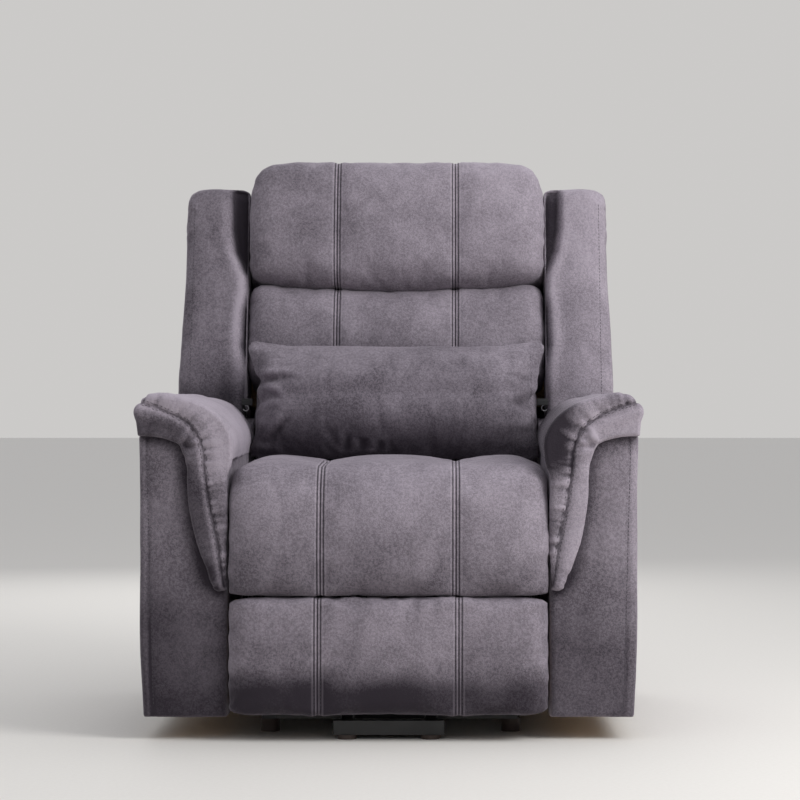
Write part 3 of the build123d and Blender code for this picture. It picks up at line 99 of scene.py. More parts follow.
class Graph:
    """A node tree with short calls for adding and joining nodes."""

    def __init__(self, tree: bpy.types.NodeTree) -> None:
        """Works on the given material's or group's node tree."""
        self.tree = tree

    def add(self, kind: str, settings: dict | None = None, **inputs: object) -> bpy.types.Node:
        """Adds a node and fills or links its inputs.

        Args:
            kind: the node's type name without the ShaderNode prefix.
            settings: properties of the node itself.
            inputs: values or sockets by input name, with underscores for spaces.

        Returns:
            The new node.
        """
        node = self.tree.nodes.new("ShaderNode" + kind)
        for name, value in (settings or {}).items():
            setattr(node, name, value)
        for name, value in inputs.items():
            self.put(node.inputs[name.replace("_", " ")], value)
        return node

    def put(self, socket: Socket, value: object) -> None:
        """Links a socket to another, or sets its constant.

        Args:
            socket: the input to fill.
            value: an output socket, a number, a vector or a colour.
        """
        if isinstance(value, Socket):
            self.tree.links.new(value, socket)
        elif isinstance(value, tuple) and len(value) == 3 and socket.type == "RGBA":
            socket.default_value = (*value, 1.0)
        else:
            socket.default_value = value

    def math(self, operation: str, a: object, b: object = 0.0, clamp: bool = False) -> Socket:
        """Adds a Math node.

        Args:
            operation: the node's operation.
            a: first value or socket.
            b: second value or socket.
            clamp: whether the result is held between 0 and 1.

        Returns:
            The node's output.
        """
        node = self.add("Math", {"operation": operation, "use_clamp": clamp})
        self.put(node.inputs[0], a)
        self.put(node.inputs[1], b)
        return node.outputs[0]

    def gap(self, a: object, b: object) -> Socket:
        """Returns how far apart two values or sockets are."""
        return self.math("ABSOLUTE", self.math("SUBTRACT", a, b))

    def add_times(self, value: object, factor: float, base: object) -> Socket:
        """Multiplies and adds.

        Args:
            value: what is multiplied.
            factor: by what.
            base: what is added.

        Returns:
            The sum.
        """
        total = self.math("MULTIPLY_ADD", value, factor)
        self.put(total.node.inputs[2], base)
        return total

    def remap(self, value: object, low: float, high: float, out: Pair = (0.0, 1.0)) -> Socket:
        """Spreads a range smoothly onto another.

        Args:
            value: the socket to remap.
            low: start of its range.
            high: end of its range.
            out: the new range.

        Returns:
            The remapped socket.
        """
        node = self.add("MapRange", {"interpolation_type": "SMOOTHSTEP"})
        for index, item in enumerate((value, low, high, *out)):
            self.put(node.inputs[index], item)
        return node.outputs[0]

    def noise(self, vector: object, scale: float, detail: float = 2.0, distortion: float = 0.0) -> Socket:
        """Returns a noise texture's factor, with scale features per metre."""
        settings = {"Scale": scale, "Detail": detail, "Distortion": distortion}
        return self.add("TexNoise", None, Vector=vector, **settings).outputs[0]

    def stretched(self, vector: object, scale: Point) -> Socket:
        """Returns the coordinates scaled by a factor on each axis."""
        return self.add("Mapping", None, Vector=vector, Scale=scale).outputs[0]

    def blend(self, factor: object, a: object, b: object) -> Socket:
        """Mixes two colours.

        Args:
            factor: share of the second.
            a: first colour.
            b: second colour.

        Returns:
            The mixed colour's socket.
        """
        node = self.add("Mix", {"data_type": "RGBA"})
        self.put(node.inputs[0], factor)
        self.put(node.inputs[6], a)
        self.put(node.inputs[7], b)
        return node.outputs[2]

    def bump(self, height: object, strength: float, distance: float, normal: object = None) -> Socket:
        """Adds a bump.

        Args:
            height: the height's socket, from 0 to 1.
            strength: share of the effect.
            distance: height in metres that 1 stands for.
            normal: the normal it is added to, if any.

        Returns:
            The bumped normal's socket.
        """
        node = self.add("Bump", None, Height=height, Strength=strength, Distance=distance)
        if normal is not None:
            self.put(node.inputs["Normal"], normal)
        return node.outputs[0]

    def group(self, tree: bpy.types.NodeTree, **inputs: object) -> bpy.types.Node:
        """Adds an effect made as a node group.

        Args:
            tree: the group.
            inputs: values or sockets by input name.

        Returns:
            The group's node.
        """
        node = self.tree.nodes.new("ShaderNodeGroup")
        node.node_tree = tree
        for name, value in inputs.items():
            self.put(node.inputs[name], value)
        return node


def new_group(
    name: str, inputs: dict[str, tuple[str, object]], outputs: Iterable[str]
) -> tuple[Graph, bpy.types.Node, bpy.types.Node]:
    """Starts a shader node group.

    Args:
        name: the group's name.
        inputs: socket kind and default by name.
        outputs: names of the float outputs.

    Returns:
        Its graph, input node and output node.
    """
    tree = bpy.data.node_groups.new(name, "ShaderNodeTree")
    for label, (kind, default) in inputs.items():
        socket = tree.interface.new_socket(label, in_out="INPUT", socket_type="NodeSocket" + kind)
        if default is not None:
            socket.default_value = default
    for label in outputs:
        tree.interface.new_socket(label, in_out="OUTPUT", socket_type="NodeSocketFloat")
    return Graph(tree), tree.nodes.new("NodeGroupInput"), tree.nodes.new("NodeGroupOutput")


def make_nap_group() -> bpy.types.NodeTree:
    """The clouds that brushing leaves in a nap, with its fine fibres.

    Returns:
        A group with the outputs Clouds and Fibres.
    """
    graph, source, result = new_group("nap", {"Vector": ("Vector", None)}, ("Clouds", "Fibres"))
    where = source.outputs["Vector"]
    wide = graph.remap(graph.noise(where, 6.5, 3.0, 0.9), 0.30, 0.70)
    small = graph.remap(graph.noise(graph.stretched(where, (1.0, 1.0, 0.6)), 26.0, 4.0, 0.7), 0.25, 0.75)
    graph.put(result.inputs["Clouds"], graph.add_times(wide, 0.55, graph.math("MULTIPLY", small, 0.45)))
    tufts = graph.math("MULTIPLY", graph.noise(where, 210.0, 2.0), 0.4)
    fibres = graph.add_times(graph.noise(where, 620.0, 3.0), 0.6, tufts)
    graph.put(result.inputs["Fibres"], graph.remap(fibres, 0.39, 0.61))
    return graph.tree


def make_wear_group() -> bpy.types.NodeTree:
    """Fine unevenness of a coated or moulded surface.

    Returns:
        A group with the outputs Speckle and Smudge.
    """
    graph, source, result = new_group("surface_wear", {"Vector": ("Vector", None)}, ("Speckle", "Smudge"))
    where = source.outputs["Vector"]
    graph.put(result.inputs["Speckle"], graph.noise(where, 1400.0, 2.0))
    graph.put(result.inputs["Smudge"], graph.remap(graph.noise(where, 18.0, 4.0, 0.5), 0.3, 0.7))
    return graph.tree


def make_seam_group() -> bpy.types.NodeTree:
    """A sewn seam at two mirrored x: a closed line between two topstitched rows.

    Returns:
        A group with the outputs Sunk, from 0 to 1 in the three lines, and Raised between them.
    """
    graph, source, result = new_group(
        "sewn_seam", {"Vector": ("Vector", None), "Place": ("Float", 0.12)}, ("Sunk", "Raised")
    )
    across = graph.add("SeparateXYZ", None, Vector=source.outputs["Vector"]).outputs[0]
    away = graph.gap(graph.math("ABSOLUTE", across), source.outputs["Place"])
    joint = graph.remap(away, 0.0002, 0.0018, (1.0, 0.0))
    stitched = graph.remap(graph.gap(away, SEAM_HALF), 0.0003, 0.0017, (0.8, 0.0))
    graph.put(result.inputs["Sunk"], graph.math("MAXIMUM", joint, stitched))
    between = graph.remap(graph.gap(away, 0.5 * SEAM_HALF), 0.0004, 0.0026, (1.0, 0.0))
    beside = graph.remap(graph.gap(away, 1.55 * SEAM_HALF), 0.0004, 0.003, (0.6, 0.0))
    graph.put(result.inputs["Raised"], graph.math("ADD", between, beside))
    return graph.tree


class Effects:
    """The node groups that several finishes share, made once."""

    _made: dict[str, bpy.types.NodeTree] = {}

    @classmethod
    def get(cls, name: str) -> bpy.types.NodeTree:
        """Args:
            name: "nap", "seam" or "wear".

        Returns:
            The group of that name.
        """
        makers: dict[str, Callable[[], bpy.types.NodeTree]] = {
            "nap": make_nap_group,
            "seam": make_seam_group,
            "wear": make_wear_group,
        }
        if name not in cls._made:
            cls._made[name] = makers[name]()
        return cls._made[name]


def start_material(name: str) -> tuple[bpy.types.Material, Graph, bpy.types.Node, Socket]:
    """Makes a material with one Principled shader.

    Args:
        name: the material's name.

    Returns:
        The material, its graph, the shader and the Object coordinates.
    """
    material = bpy.data.materials.new(name)
    material.use_nodes = True
    graph = Graph(material.node_tree)
    shader = material.node_tree.nodes["Principled BSDF"]
    where = graph.add("TexCoord").outputs["Object"]
    return material, graph, shader, where


@dataclass(frozen=True)
class Suede:
    """Microfibre, its nap raised by brushing, lying lighter or darker in clouds, with a soft sheen."""

    name: str = "suede"
    dark: Colour = (0.030, 0.024, 0.032)
    light: Colour = (0.400, 0.352, 0.405)
    cloud_share: float = 0.32
    tone_share: float = 0.44
    fibre_share: float = 0.30
    raised_share: float = 0.24
    sunk_share: float = 0.66
    seam: float | None = None

    def build(self) -> bpy.types.Material:
        """Returns:
            The upholstery's material. It reads the attribute "tone": painted light and shade and the nap's
            clouds.
        """
        material, graph, shader, where = start_material(self.name)
        nap = graph.group(Effects.get("nap"), Vector=where)
        tone = graph.add("Attribute", {"attribute_name": "tone"}).outputs["Fac"]
        # The tone's painted light and shade, with the nap's clouds in it, sets how light the suede is.
        brushed = graph.add_times(tone, self.tone_share, 0.5)
        fibres = graph.math("MULTIPLY", nap.outputs["Fibres"], self.fibre_share)
        uneven = graph.add_times(nap.outputs["Clouds"], self.cloud_share, fibres)
        uneven = graph.math("SUBTRACT", uneven, (self.cloud_share + self.fibre_share) / 2)
        # The clouds fade where the tone holds painted shade.
        uneven = graph.math("MULTIPLY", uneven, graph.remap(tone, -1.2, 0.0, (0.22, 1.0)))
        level = graph.math("ADD", brushed, uneven, clamp=True)
        fine = graph.bump(nap.outputs["Fibres"], 0.35, 0.0009)
        normal = graph.bump(nap.outputs["Clouds"], 0.3, 0.0020, fine)
        if self.seam is not None:
            sewn = graph.group(Effects.get("seam"), Vector=where, Place=self.seam)
            # Painted highlight on the raised cloth beside each seam and painted shade in its sunk lines.
            raised = graph.math("MULTIPLY", sewn.outputs["Raised"], self.raised_share)
            sunk = graph.math("MULTIPLY", sewn.outputs["Sunk"], self.sunk_share)
            level = graph.math("ADD", level, raised, clamp=True)
            level = graph.math("SUBTRACT", level, sunk, clamp=True)
            height = graph.math("SUBTRACT", sewn.outputs["Raised"], sewn.outputs["Sunk"])
            normal = graph.bump(height, 0.7, 0.0012, normal)
        graph.put(shader.inputs["Base Color"], graph.blend(level, self.dark, self.light))
        graph.put(shader.inputs["Roughness"], graph.remap(nap.outputs["Clouds"], 0.0, 1.0, (0.95, 0.78)))
        graph.put(shader.inputs["Normal"], normal)
        shader.inputs["Specular IOR Level"].default_value = 0.16
        shader.inputs["Sheen Weight"].default_value = 0.30
        shader.inputs["Sheen Roughness"].default_value = 0.42
        shader.inputs["Sheen Tint"].default_value = (0.88, 0.80, 0.90, 1.0)
        return material


@dataclass(frozen=True)
class Thread:
    """Twisted polyester sewing thread."""

    name: str = "thread"
    colour: Colour = (0.045, 0.036, 0.050)

    def build(self) -> bpy.types.Material:
        """Returns:
            The thread's material.
        """
        material, graph, shader, where = start_material(self.name)
        ply = graph.noise(where, 1600.0, 1.0)
        deep = tuple(0.55 * c for c in self.colour)
        graph.put(shader.inputs["Base Color"], graph.blend(ply, deep, self.colour))
        graph.put(shader.inputs["Normal"], graph.bump(ply, 0.5, 0.0003))
        shader.inputs["Roughness"].default_value = 0.55
        return material


@dataclass(frozen=True)
class Coating:
    """A painted, plated or moulded surface with fine speckle and faint smudges."""

    name: str
    colour: Colour
    roughness: Pair
    speckle: float
    height: float
    metallic: float = 0.0
    coat: float = 0.0

    def build(self) -> bpy.types.Material:
        """Returns:
            The coating's material.
        """
        material, graph, shader, where = start_material(self.name)
        wear = graph.group(Effects.get("wear"), Vector=where)
        shade = graph.math("MULTIPLY", wear.outputs["Speckle"], self.speckle)
        pale = tuple(min(1.0, c * 1.5 + 0.006) for c in self.colour)
        graph.put(shader.inputs["Base Color"], graph.blend(shade, self.colour, pale))
        rough = graph.remap(wear.outputs["Smudge"], 0.0, 1.0, self.roughness)
        graph.put(shader.inputs["Roughness"], rough)
        graph.put(shader.inputs["Normal"], graph.bump(wear.outputs["Speckle"], 0.4, self.height))
        shader.inputs["Metallic"].default_value = self.metallic
        shader.inputs["Coat Weight"].default_value = self.coat
        return material


@dataclass(frozen=True)
class Board:
    """Birch plywood: long grain with fine pores."""

    name: str = "board"
    light: Colour = (0.60, 0.42, 0.24)
    dark: Colour = (0.36, 0.22, 0.11)

    def build(self) -> bpy.types.Material:
        """Returns:
            The wood's material.
        """
        material, graph, shader, where = start_material(self.name)
        grain = graph.noise(graph.stretched(where, (3.0, 1.0, 30.0)), 8.0, 5.0, 0.6)
        pores = graph.noise(graph.stretched(where, (1.0, 0.2, 6.0)), 260.0, 2.0)
        streaks = graph.remap(grain, 0.3, 0.7, (0.0, 0.8))
        specks = graph.remap(pores, 0.55, 0.8, (0.0, 0.3))
        mixed = graph.math("ADD", streaks, specks, clamp=True)
        graph.put(shader.inputs["Base Color"], graph.blend(mixed, self.light, self.dark))
        graph.put(shader.inputs["Normal"], graph.bump(grain, 0.3, 0.0004))
        shader.inputs["Roughness"].default_value = 0.7
        return material


@dataclass(frozen=True)
class Woven:
    """Woven elastic: warp ribs along the band and weft across it."""

    name: str = "woven"
    light: Colour = (0.022, 0.021, 0.024)
    dark: Colour = (0.008, 0.008, 0.009)
    pitch: float = 0.0024

    def build(self) -> bpy.types.Material:
        """Returns:
            The webbing's material.
        """
        material, graph, shader, where = start_material(self.name)
        scale = 0.5 / self.pitch
        waves = []
        for axis in ("X", "Y", "Z"):
            wave = graph.add("TexWave", {"bands_direction": axis}, Vector=where, Scale=scale, Distortion=0.4)
            waves.append(wave.outputs["Fac"])
        ribs = graph.math("MULTIPLY", waves[0], waves[1])
        weave = graph.math("MULTIPLY", ribs, graph.math("ADD", waves[2], 0.5))
        graph.put(shader.inputs["Base Color"], graph.blend(weave, self.dark, self.light))
        graph.put(shader.inputs["Normal"], graph.bump(weave, 0.6, 0.0006))
        shader.inputs["Roughness"].default_value = 0.85
        return material


BLACK_STEEL = Coating(
    "black_steel", (0.012, 0.012, 0.013), (0.32, 0.5), metallic=0.3, speckle=0.5, height=0.00006, coat=0.15
)
ZINC_STEEL = Coating(
    "zinc_steel", (0.52, 0.52, 0.54), (0.2, 0.42), metallic=1.0, speckle=0.4, height=0.00003
)
DRIVE_SHELL = Coating("drive_shell", (0.022, 0.022, 0.024), (0.5, 0.7), speckle=0.5, height=0.00012)
HANDSET_SHELL = Coating("handset_shell", (0.03, 0.03, 0.033), (0.42, 0.6), speckle=0.4, height=0.0001)
ROCKER_SHELL = Coating(
    "rocker_shell", (0.32, 0.32, 0.33), (0.25, 0.4), speckle=0.2, height=0.00003, coat=0.2
)
FOOT_RUBBER = Coating("foot_rubber_matt", (0.035, 0.022, 0.018), (0.6, 0.8), speckle=0.4, height=0.0001)


class Finishes:
    """Every material of the chair by its slot, made once."""

    def __init__(self) -> None:
        """Builds all the materials."""
        finishes = {
            Slot.UPHOLSTERY: Suede(),
            Slot.WOOD: Board(),
            Slot.WEBBING: Woven(),
            Slot.STEEL: BLACK_STEEL,
            Slot.BRIGHT: ZINC_STEEL,
            Slot.DRIVE: DRIVE_SHELL,
            Slot.HANDSET: HANDSET_SHELL,
            Slot.ROCKER: ROCKER_SHELL,
            Slot.FOOT: FOOT_RUBBER,
        }
        self.by_slot: dict[Slot, bpy.types.Material] = {slot: f.build() for slot, f in finishes.items()}
        self.sewn: dict[float, bpy.types.Material] = {
            seam: Suede(name=f"suede_sewn_{round(seam * 1000)}", seam=seam).build()
            for seam in (SeatCushion.seam, LegrestPad.seam)
        }
        self.thread = Thread().build()

    def dress_nodes(self) -> None:
        """Gives each CAD node the finish of its own slot in the record."""
        for part in frame["record"]["subparts"]:
            node = frame["nodes"][part["node"]]
            material = self.by_slot[Slot(part["material_slot"])]
            if not node.material_slots:
                node.data.materials.append(material)
            for holder in node.material_slots:
                holder.material = material


# ---------------------------------------------------------------- mesh work


def select_only(piece: bpy.types.Object) -> None:
    """Makes one object the only selected and the active one.

    Args:
        piece: that object.
    """
    bpy.ops.object.select_all(action="DESELECT")
    piece.select_set(True)
    bpy.context.view_layer.objects.active = piece


def copy_node(node: str, name: str) -> bpy.types.Object:
    """Copies a CAD node's mesh into a new object and merges its loose triangles.

    Args:
        node: the CAD node.
        name: the new object's name.

    Returns:
        The new object, in place and with no material.
    """
    mesh = frame["nodes"][node].data.copy()
    mesh.materials.clear()
    piece = bpy.data.objects.new(name, mesh)
    bpy.context.scene.collection.objects.link(piece)
    select_only(piece)
    bpy.ops.object.mode_set(mode="EDIT")
    bpy.ops.mesh.select_all(action="SELECT")
    bpy.ops.mesh.remove_doubles(threshold=1e-5)
    bpy.ops.mesh.normals_make_consistent(inside=False)
    bpy.ops.object.mode_set(mode="OBJECT")
    return piece


def smooth_shade(piece: bpy.types.Object, angle: float) -> None:
    """Shades an object smooth, but for edges sharper than an angle in degrees."""
    select_only(piece)
    bpy.ops.object.shade_smooth_by_angle(angle=math.radians(angle))


def lattice_noise(points: Array, pitch: float, seed: int) -> Array:
    """Smooth noise from -1 to 1, the same on every run.

    Args:
        points: where it is wanted, one row each.
        pitch: size of a feature, in metres.
        seed: picks the pattern.

    Returns:
        One value for each point.
    """
    scaled = points / pitch + 1000.0
    cell = np.floor(scaled).astype(np.int64)
    part = scaled - cell
    part = part * part * (3.0 - 2.0 * part)
    total = np.zeros(len(points))
    for corner in range(8):
        step = np.array([corner & 1, corner >> 1 & 1, corner >> 2 & 1])
        key = (cell + step) @ np.array([374761393, 668265263, 1442695041]) + seed * 974711
        key = (key ^ (key >> 13)) * 1274126177 & 0xFFFFFFFF
        value = ((key ^ (key >> 16)) & 0xFFFF) / 32767.5 - 1.0
        total += value * np.prod(np.where(step, part, 1.0 - part), axis=1)
    return total


def fractal_noise(points: Array, pitch: float, octaves: int, seed: int) -> Array:
    """Several octaves of lattice noise.

    Args:
        points: where it is wanted.
        pitch: size of the largest feature.
        octaves: how many.
        seed: picks the pattern.

    Returns:
        One value for each point, about -1 to 1.
    """
    return sum(
        lattice_noise(points, pitch / 2 ** n, seed + n) / 2 ** n for n in range(octaves)
    ) / (2.0 - 2.0 ** (1 - octaves))


def bell(distance: Array, width: float) -> Array:
    """Returns a smooth hump from 0 to 1, which at width from its middle is about a third."""
    return np.exp(-((distance / width) ** 2))


def ramp(value: Array, low: float, high: float) -> Array:
    """Returns a smooth step from 0 at low to 1 at high, which may be the smaller."""
    share = np.clip((value - low) / (high - low), 0.0, 1.0)
    return share * share * (3.0 - 2.0 * share)


class Sculpt:
    """The vertices of one mesh as arrays, moved along their normals and painted."""

    def __init__(self, piece: bpy.types.Object) -> None:
        """Args:
            piece: a mesh object with its place in its mesh.
        """
        self.piece = piece
        self.tone = np.zeros(len(piece.data.vertices))
        self.read()

    def read(self) -> None:
        """Reads the vertices and normals."""
        data = self.piece.data
        count = len(data.vertices)
        self.co = np.empty(count * 3)
        data.vertices.foreach_get("co", self.co)
        self.co = self.co.reshape(-1, 3)
        self.no = np.empty(count * 3)
        data.vertices.foreach_get("normal", self.no)
        self.no = self.no.reshape(-1, 3)
        if len(self.tone) != count:
            self.tone = np.zeros(count)

    @property
    def x(self) -> Array:
        """Across the chair."""
        return self.co[:, 0]

    @property
    def y(self) -> Array:
        """From front to rear."""
        return self.co[:, 1]

    @property
    def z(self) -> Array:
        """Up."""
        return self.co[:, 2]

    def push(self, amount: Array) -> None:
        """Moves each vertex along its normal.

        Args:
            amount: in metres, outwards where positive.
        """
        self.co = self.co + self.no * np.asarray(amount)[:, None]
        self.write()
        self.read()

    def shift(self, offset: Array) -> None:
        """Moves each vertex by its own offset.

        Args:
            offset: one row for each vertex, in metres.
        """
        self.co = self.co + offset
        self.write()
        self.read()

    def paint(self, amount: Array) -> None:
        """Adds to the tone, which holds painted light and shade and the nap's clouds: lighter where
        positive.
        """
        self.tone = self.tone + amount

    def mottle(self, amount: float, pitch: float, seed: int, octaves: int = 3) -> None:
        """Clouds the nap's tone by up to an amount, in clouds as large as pitch and smaller."""
        self.paint(amount * fractal_noise(self.co, pitch, octaves, seed))

    def write(self) -> None:
        """Writes the vertices back."""
        self.piece.data.vertices.foreach_set("co", self.co.ravel())
        self.piece.data.update()

    def finish(self) -> None:
        """Writes the tone as an attribute."""
        data = self.piece.data
        layer = data.attributes.get("tone") or data.attributes.new("tone", "FLOAT", "POINT")
        layer.data.foreach_set("value", np.clip(self.tone, *TONE_RANGE).astype(np.float32))


class Line:
    """A line on or near a surface, such as a seam, read as points close together."""

    def __init__(self, points: Sequence[Point] | Array, flat_before: float | None = None) -> None:
        """Args:
            points: the corners of the line, in order.
            flat_before: if given, depth counts for nothing at points before this y.
        """
        self.flat_before = flat_before
        corners = np.asarray(points, float)
        runs = np.linalg.norm(np.diff(corners, axis=0), axis=1)
        reach = np.concatenate([[0.0], np.cumsum(runs)])
        self.length = float(reach[-1])
        self.along = np.linspace(0.0, self.length, max(2, int(self.length / 0.002)))
        self.points = np.stack([np.interp(self.along, reach, corners[:, k]) for k in range(3)], axis=1)

    def smoothed(self, rounds: int) -> Line:
        """Rounds the corners.

        Args:
            rounds: how many passes of averaging.

        Returns:
            A smoother line with the same ends.
        """
        points = self.points.copy()
        for _ in range(rounds):
            points[1:-1] = 0.25 * points[:-2] + 0.5 * points[1:-1] + 0.25 * points[2:]
        return Line(points, self.flat_before)

    def measure(self, co: Array, reach: float) -> tuple[Array, Array, Array]:
        """Distance from the line, place along it and side of it, of each point.

        Args:
            co: the points.
            reach: beyond which the distance is only given as far.

        Returns:
            Distances and places along the line in metres, and 1 or -1 for the side in a front view.
        """
        tree = KDTree(len(self.points))
        for number, point in enumerate(self.points):
            tree.insert(point, number)
        tree.balance()
        heading = np.gradient(self.points, axis=0)
        away = np.full(len(co), 10.0)
        place = np.zeros(len(co))
        side = np.ones(len(co))
        low = self.points.min(0) - reach
        high = self.points.max(0) + reach
        probe = co.copy()
        if self.flat_before is not None:
            probe[co[:, 1] < self.flat_before, 1] = self.points[0, 1]
        near = np.flatnonzero(np.all((probe > low) & (probe < high), axis=1))
        for number in near:
            point, index, distance = tree.find(probe[number])
            away[number] = distance
            place[number] = self.along[index]
            offset = probe[number] - np.array(point)
            side[number] = np.sign(heading[index, 0] * offset[2] - heading[index, 2] * offset[0])
        return away, place, side


@dataclass(frozen=True)
class Inflation:
    """How a cushion is blown up by the cloth simulation."""

    voxel: float = 0.007
    shrink: float = 0.001
    pressure: float = 4.0
    slack: float = 0.02
    cap: float = 0.022
    frames: int = 20
    stiffness: float = 8.0
    bending: float = 0.4
    quality: int = 5


def voxel_remesh(piece: bpy.types.Object, size: float) -> None:
    """Remeshes an object to even quads.

    Args:
        piece: a closed mesh.
        size: the quads' size, in metres.
    """
    select_only(piece)
    piece.data.remesh_voxel_size = size
    bpy.ops.object.voxel_remesh()


def apply_modifier(piece: bpy.types.Object, kind: str, **settings: object) -> None:
    """Adds a modifier and applies it.

    Args:
        piece: the object.
        kind: the modifier's type.
        settings: its properties.
    """
    select_only(piece)
    modifier = piece.modifiers.new(kind.lower(), kind)
    for name, value in settings.items():
        setattr(modifier, name, value)
    bpy.ops.object.modifier_apply(modifier=modifier.name)


def inflate(piece: bpy.types.Object, spec: Inflation, held: Callable[[Array], Array]) -> None:
    """Swells a cushion under pressure, held along its seams, with its movement capped.

    Args:
        piece: a remeshed closed cushion.
        spec: the simulation's settings.
        held: how firmly each point is held, from 0 to 1.
    """
    sculpt = Sculpt(piece)
    sculpt.push(np.full(len(sculpt.co), -spec.shrink))
    before = sculpt.co.copy()
    group = piece.vertex_groups.new(name="held")
    weights = held(before)
    for number in np.flatnonzero(weights > 0.01):
        group.add([int(number)], float(weights[number]), "REPLACE")
    select_only(piece)
    modifier = piece.modifiers.new("Cloth", "CLOTH")
    cloth = modifier.settings
    cloth.quality = spec.quality
    cloth.use_pressure = True
    cloth.uniform_pressure_force = spec.pressure
    cloth.effector_weights.gravity = 0.0
    cloth.shrink_min = -spec.slack
    cloth.tension_stiffness = spec.stiffness
    cloth.compression_stiffness = spec.stiffness
    cloth.shear_stiffness = spec.stiffness / 2
    cloth.bending_stiffness = spec.bending
    cloth.vertex_group_mass = group.name
    modifier.collision_settings.use_collision = False
    modifier.point_cache.frame_start = 1
    modifier.point_cache.frame_end = spec.frames
    scene = bpy.context.scene
    for number in range(1, spec.frames + 1):
        scene.frame_set(number)
    bpy.ops.object.modifier_apply(modifier=modifier.name)
    scene.frame_set(1)
    piece.vertex_groups.clear()
    sculpt.read()
    move = sculpt.co - before
    length = np.linalg.norm(move, axis=1)
    over = np.maximum(length, 1e-9)
    share = np.minimum(1.0, spec.cap * np.tanh(over / spec.cap) / over)
    sculpt.co = before + move * share[:, None]
    sculpt.write()


@dataclass(frozen=True)
class Stitches:
    """A row of sewing stitches."""

    pitch: float = 0.0068
    length: float = 0.0050
    width: float = 0.0013
    height: float = 0.0009


class Sewing:
    """Collects the stitches of one piece into one mesh."""

    def __init__(self, surface: bpy.types.Object, spec: Stitches = Stitches()) -> None:
        """Args:
            surface: the piece that is sewn, in its final shape.
            spec: the stitches' sizes.
        """
        self.spec = spec
        self.surface = surface
        mesh = surface.data
        mesh.calc_loop_triangles()
        triangles = [tuple(t.vertices) for t in mesh.loop_triangles]
        self.tree = BVHTree.FromPolygons([v.co.copy() for v in mesh.vertices], triangles)
        self.places: list[Matrix] = []

    def cast(self, origins: Array, direction: Point) -> tuple[Array, Array]:
        """Lays points onto the surface along one direction. Returns as cast_each."""
        return self.cast_each(origins, np.tile(np.asarray(direction, float), (len(origins), 1)))

    def cast_each(self, origins: Array, directions: Array) -> tuple[Array, Array]:
        """Lays points onto the surface, each along its own direction.

        Args:
            origins: where the rays start.
            directions: where they go.

        Returns:
            The points that were hit, and the surface's normals there.
        """
        hits, normals = [], []
        for origin, direction in zip(origins, directions):
            place, normal, _, _ = self.tree.ray_cast(Vector(origin), Vector(direction).normalized())
            if place is not None:
                hits.append(place)
                normals.append(normal)
        return np.array(hits).reshape(-1, 3), np.array(normals).reshape(-1, 3)

    def wrap(self, x: float, centre: Pair, start: float, end: float) -> tuple[Array, Array]:
        """A line round a cushion at one x, found from outside.

        Args:
            x: across the chair.
            centre: a point inside, (y, z).
            start: first angle in degrees, from +Y towards +Z.
            end: last angle.

        Returns:
            Points and normals in order.
        """
        angles = np.radians(np.linspace(start, end, 220))
        away = np.stack([np.zeros_like(angles), np.cos(angles), np.sin(angles)], axis=1)
        origins = np.array([x, *centre]) + away * OUTSIDE
        return self.cast_each(origins, -away)

    def row(self, points: Array, normals: Array, offset: float = 0.0) -> None:
        """Adds a row of stitches along a line on the surface.

        Args:
            points: the line.
            normals: the surface's normals on it.
            offset: sideways from the line, in metres.
        """
        if len(points) < 4:
            LOG.warning("%s: a row of stitches found no surface", self.surface.name)
            return
        runs = np.linalg.norm(np.diff(points, axis=0), axis=1)
        reach = np.concatenate([[0.0], np.cumsum(runs)])
        starts = np.arange(self.spec.pitch, reach[-1] - self.spec.pitch, self.spec.pitch)

        def at(place: Array, values: Array) -> Array:
            """Returns the values at distances along the line."""
            return np.stack([np.interp(place, reach, values[:, k]) for k in range(3)], axis=1)

        middle = at(starts, points)
        ahead = at(starts + self.spec.length / 2, points) - at(starts - self.spec.length / 2, points)
        up = at(starts, normals)
        ahead /= np.maximum(np.linalg.norm(ahead, axis=1, keepdims=True), 1e-9)
        side = np.cross(up, ahead)
        side /= np.maximum(np.linalg.norm(side, axis=1, keepdims=True), 1e-9)
        middle = middle + side * offset
        if offset:
            settled = [self.tree.find_nearest(Vector(p)) for p in middle]
            middle = np.array([s[0] if s[0] is not None else p for s, p in zip(settled, middle)])
        for place, forward, across in zip(middle, ahead, side):
            turn = Matrix((forward, across, np.cross(forward, across))).transposed()
            self.places.append(Matrix.Translation(place) @ turn.to_4x4())

    def _model(self) -> bpy.types.Object:
        """Models one stitch, lying along +X on the ground.

        Returns:
            The stitch: a short thread that dives in at both ends.
        """
        spec = self.spec
        bpy.ops.object.select_all(action="DESELECT")
        lying = (0.0, math.pi / 2, 0.0)
        bpy.ops.mesh.primitive_uv_sphere_add(segments=6, ring_count=5, radius=0.5, rotation=lying)
        stitch = bpy.context.object
        bpy.ops.object.transform_apply(location=False, rotation=True, scale=False)
        bpy.ops.object.mode_set(mode="EDIT")
        bpy.ops.mesh.select_all(action="SELECT")
        bpy.ops.transform.resize(value=(spec.length, spec.width, spec.height))
        bpy.ops.object.mode_set(mode="OBJECT")
        return stitch

    def build(self, material: bpy.types.Material) -> bpy.types.Object | None:
        """Copies the stitch to every place and joins the copies.

        Args:
            material: the thread's.

        Returns:
            The object, or None where there are no stitches.
        """
        if not self.places:
            return None
        first = self._model()
        first.name = self.surface.name + "_stitching"
        first.data.materials.append(material)
        copies = []
        for place in self.places[1:]:
            twin = first.copy()
            twin.matrix_world = place
            bpy.context.scene.collection.objects.link(twin)
            copies.append(twin)
        first.matrix_world = self.places[0]
        select_only(first)
        bpy.ops.object.transform_apply(location=True, rotation=True, scale=True, isolate_users=True)
        for twin in copies:
            twin.select_set(True)
        bpy.ops.object.join()
        smooth_shade(first, 60)
        return first


